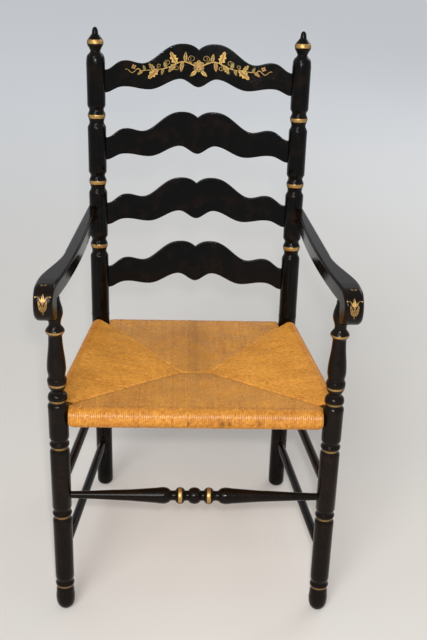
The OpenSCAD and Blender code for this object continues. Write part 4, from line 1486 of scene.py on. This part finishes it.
motif = {
    "lift": 0.18,        # mm in front of the wood
    "layers": {"petals": 0.03, "innerPetal": 0.06, "middlePetal": 0.09},      # and in front of that
    "aside": 1.0,        # from the middle of the arm to its inner side
    # in pairs: distance out, climb, turn off upright, length, width, tone, bend, serration
    "topLeaf": (0.8, 45.0, 62, 7.0, 3.8, 0.42, 0.8, 0.0),
    "petal": (0.4, -6.8, 37, 21.5, 5.4, 0.50, 7.0, 0.12),
    "petalShade": 0.06,
    "smallLeaf": (1.2, 11.5, 44, 9.5, 3.4, 0.44, 2.2, 0.0),
    "sideBerry": (13.2, 21.3, 1.4, 0.42),      # distance out, climb, radius, tone
    "sideStem": (12.0, 15.5, (1.1, 0.8), 0.26),      # how far out and up, widths, tone
    "stem": (-10.0, 12.0, (1.2, 1.2), 0.24),         # from, to, widths, tone
    # climb, length, width, tone, bend
    "innerPetal": (0.5, 9.5, 3.2, 0.36, 0.0),
    "middlePetal": (10.5, 17.5, 4.4, 0.78, 0.6),
    "foot": (0.4, -10.8, 1.3, 0.45),       # distance out, climb, radius, tone
}


def addPairedLeaf(sheet, turn, kind, shade=0.0):
    out, climb, off, length, wide, tone, bend, serrate = motif[kind]
    sheet.addLeaf(turn * out, climb, 90 - turn * off, length, wide, tone + shade, turn * bend, serrate)


def makeArmMotif(name, side):
    mid = side * ((innerFront + outerFront) / 2 - motif["aside"])

    def onScroll(x, climb, lift):
        # climb runs up the round front, in mm from its middle height
        r = arms["scrollRadius"] + motif["lift"] + lift
        a = climb / r
        return leaned([mid + x * side, -arms["scrollForward"] - r * math.cos(a), scrollZ + r * math.sin(a)])

    sheet = GiltSheet(onScroll)
    sheet.tint = (0.0, 0.15)
    stemOut, stemUp, widths, stemTone = motif["sideStem"]
    out, climb, radius, tone = motif["sideBerry"]
    for turn in (-1, 1):
        # a thin stem runs out to a berry on each side
        stem = [
            (turn * (0.8 + stemOut * t), 8.0 + stemUp * math.sin(1.9 * t) - 2.0 * t)
            for t in np.linspace(0, 1, 18)
        ]
        sheet.addStroke(stem, widths, stemTone)
        sheet.addDot(turn * out, climb, radius, tone)
        addPairedLeaf(sheet, turn, "topLeaf")
    start, end, widths, tone = motif["stem"]
    sheet.addStroke([(0.3 * math.sin(t / 4), t) for t in np.linspace(start, end, 16)], widths, tone)
    sheet.lift = motif["layers"]["petals"]
    for turn in (-1, 1):
        # outer petals of a tulip, then two small leaves over them
        addPairedLeaf(sheet, turn, "petal", motif["petalShade"] * turn)
        addPairedLeaf(sheet, turn, "smallLeaf")
    sheet.tint = (0.0, 0.0)
    for kind in ("innerPetal", "middlePetal"):
        sheet.lift = motif["layers"][kind]
        climb, length, wide, tone, bend = motif[kind]
        sheet.addLeaf(0.0, climb, 90, length, wide, tone, bend)
    sheet.tint = (0.0, 0.45)
    out, climb, radius, tone = motif["foot"]
    sheet.addDot(side * out, climb, radius, tone)
    sheet.finish(name)


makeStencil()
makeArmMotif("armGiltLeft", -1)
makeArmMotif("armGiltRight", 1)
print("gilt painting made")


# Floor and light
studio = {
    "floorColour": (0.77, 0.735, 0.685, 1.0),
    "farColour": (0.90, 0.92, 0.94, 1.0),      # paler far off, where it meets the sky
    "farRange": (0.6, 4.0),
    "floorRoughness": 0.9,
    "floorSpecular": 0.2,
    "floorSize": 300.0,
    "floorSteps": 24,
    "skyColour": (0.93, 0.96, 1.0, 1.0),
    "skyStrength": 0.40,
    "seenStrength": 0.60,      # for the eye, and in gloss and glass
    "sunFrom": (-0.40, -1.0, 0.90),
    "sunAngle": 30.0,
    "sunEnergy": 1.0,
}
# name, place, aim, width and height in metres, watts
lamps = [
    ("frontPanel", (-0.7, -3.0, 2.1), (0.0, 0.0, 0.5), (1.2, 0.9), 27.0),
    ("backPanel", (2.3, 2.2, 2.3), (0.0, 0.0, 0.6), (1.8, 1.3), 22.0),
    ("cameraLamp", (0.0, -2.16, 1.68), (0.0, 0.0, 0.55), (0.07, 0.07), 22.0),
]


def makeFloor():
    material, tree, shader = newMaterial("plainFloor")
    away = addNode(tree, "ShaderNodeVectorMath", operation="LENGTH")
    tree.links.new(objectPlace(tree), away.inputs[0])
    far = mapRange(tree, away.outputs["Value"], *studio["farRange"])
    colour = mixColour(tree, far, studio["floorColour"], studio["farColour"])
    tree.links.new(colour, shader.inputs["Base Color"])
    shader.inputs["Roughness"].default_value = studio["floorRoughness"]
    shader.inputs["Specular IOR Level"].default_value = studio["floorSpecular"]
    size, wide = studio["floorSize"], studio["floorSteps"] + 1
    lines = [size * (i / studio["floorSteps"] - 0.5) for i in range(wide)]
    mesh = bpy.data.meshes.new("studioFloor")
    mesh.from_pydata([(x, y, 0.0) for y in lines for x in lines], [], gridFaces(wide, wide))
    mesh.materials.append(material)
    floor = bpy.data.objects.new("studioFloor", mesh)
    bpy.context.scene.collection.objects.link(floor)


def makeSky():
    world = bpy.data.worlds.new("studioSky")
    bpy.context.scene.world = world
    world.use_nodes = True
    tree = world.node_tree
    background = tree.nodes["Background"]
    background.inputs["Color"].default_value = studio["skyColour"]
    light = addNode(tree, "ShaderNodeLightPath").outputs
    seen = mathNode(tree, "MAXIMUM", light["Is Camera Ray"], light["Is Glossy Ray"])
    seen = mathNode(tree, "MAXIMUM", seen, light["Is Transmission Ray"])
    strength = mapRange(tree, seen, 0.0, 1.0, studio["skyStrength"], studio["seenStrength"], smooth=False)
    tree.links.new(strength, background.inputs["Strength"])


def makeLamps():
    sun = bpy.data.lights.new("keySun", "SUN")
    sun.energy = studio["sunEnergy"]
    sun.angle = math.radians(studio["sunAngle"])
    sunlight = bpy.data.objects.new("keySun", sun)
    sunlight.rotation_euler = (-Vector(studio["sunFrom"])).to_track_quat("-Z", "Y").to_euler()
    bpy.context.scene.collection.objects.link(sunlight)
    for name, place, aim, size, power in lamps:
        light = bpy.data.lights.new(name, "AREA")
        light.shape = "RECTANGLE"
        light.size, light.size_y = size
        light.energy = power
        lamp = bpy.data.objects.new(name, light)
        lamp.location = place
        lamp.rotation_euler = (Vector(aim) - Vector(place)).to_track_quat("-Z", "Y").to_euler()
        bpy.context.scene.collection.objects.link(lamp)


makeFloor()
makeSky()
makeLamps()
bpy.context.scene.view_settings.view_transform = "Standard"
print("floor and light made")
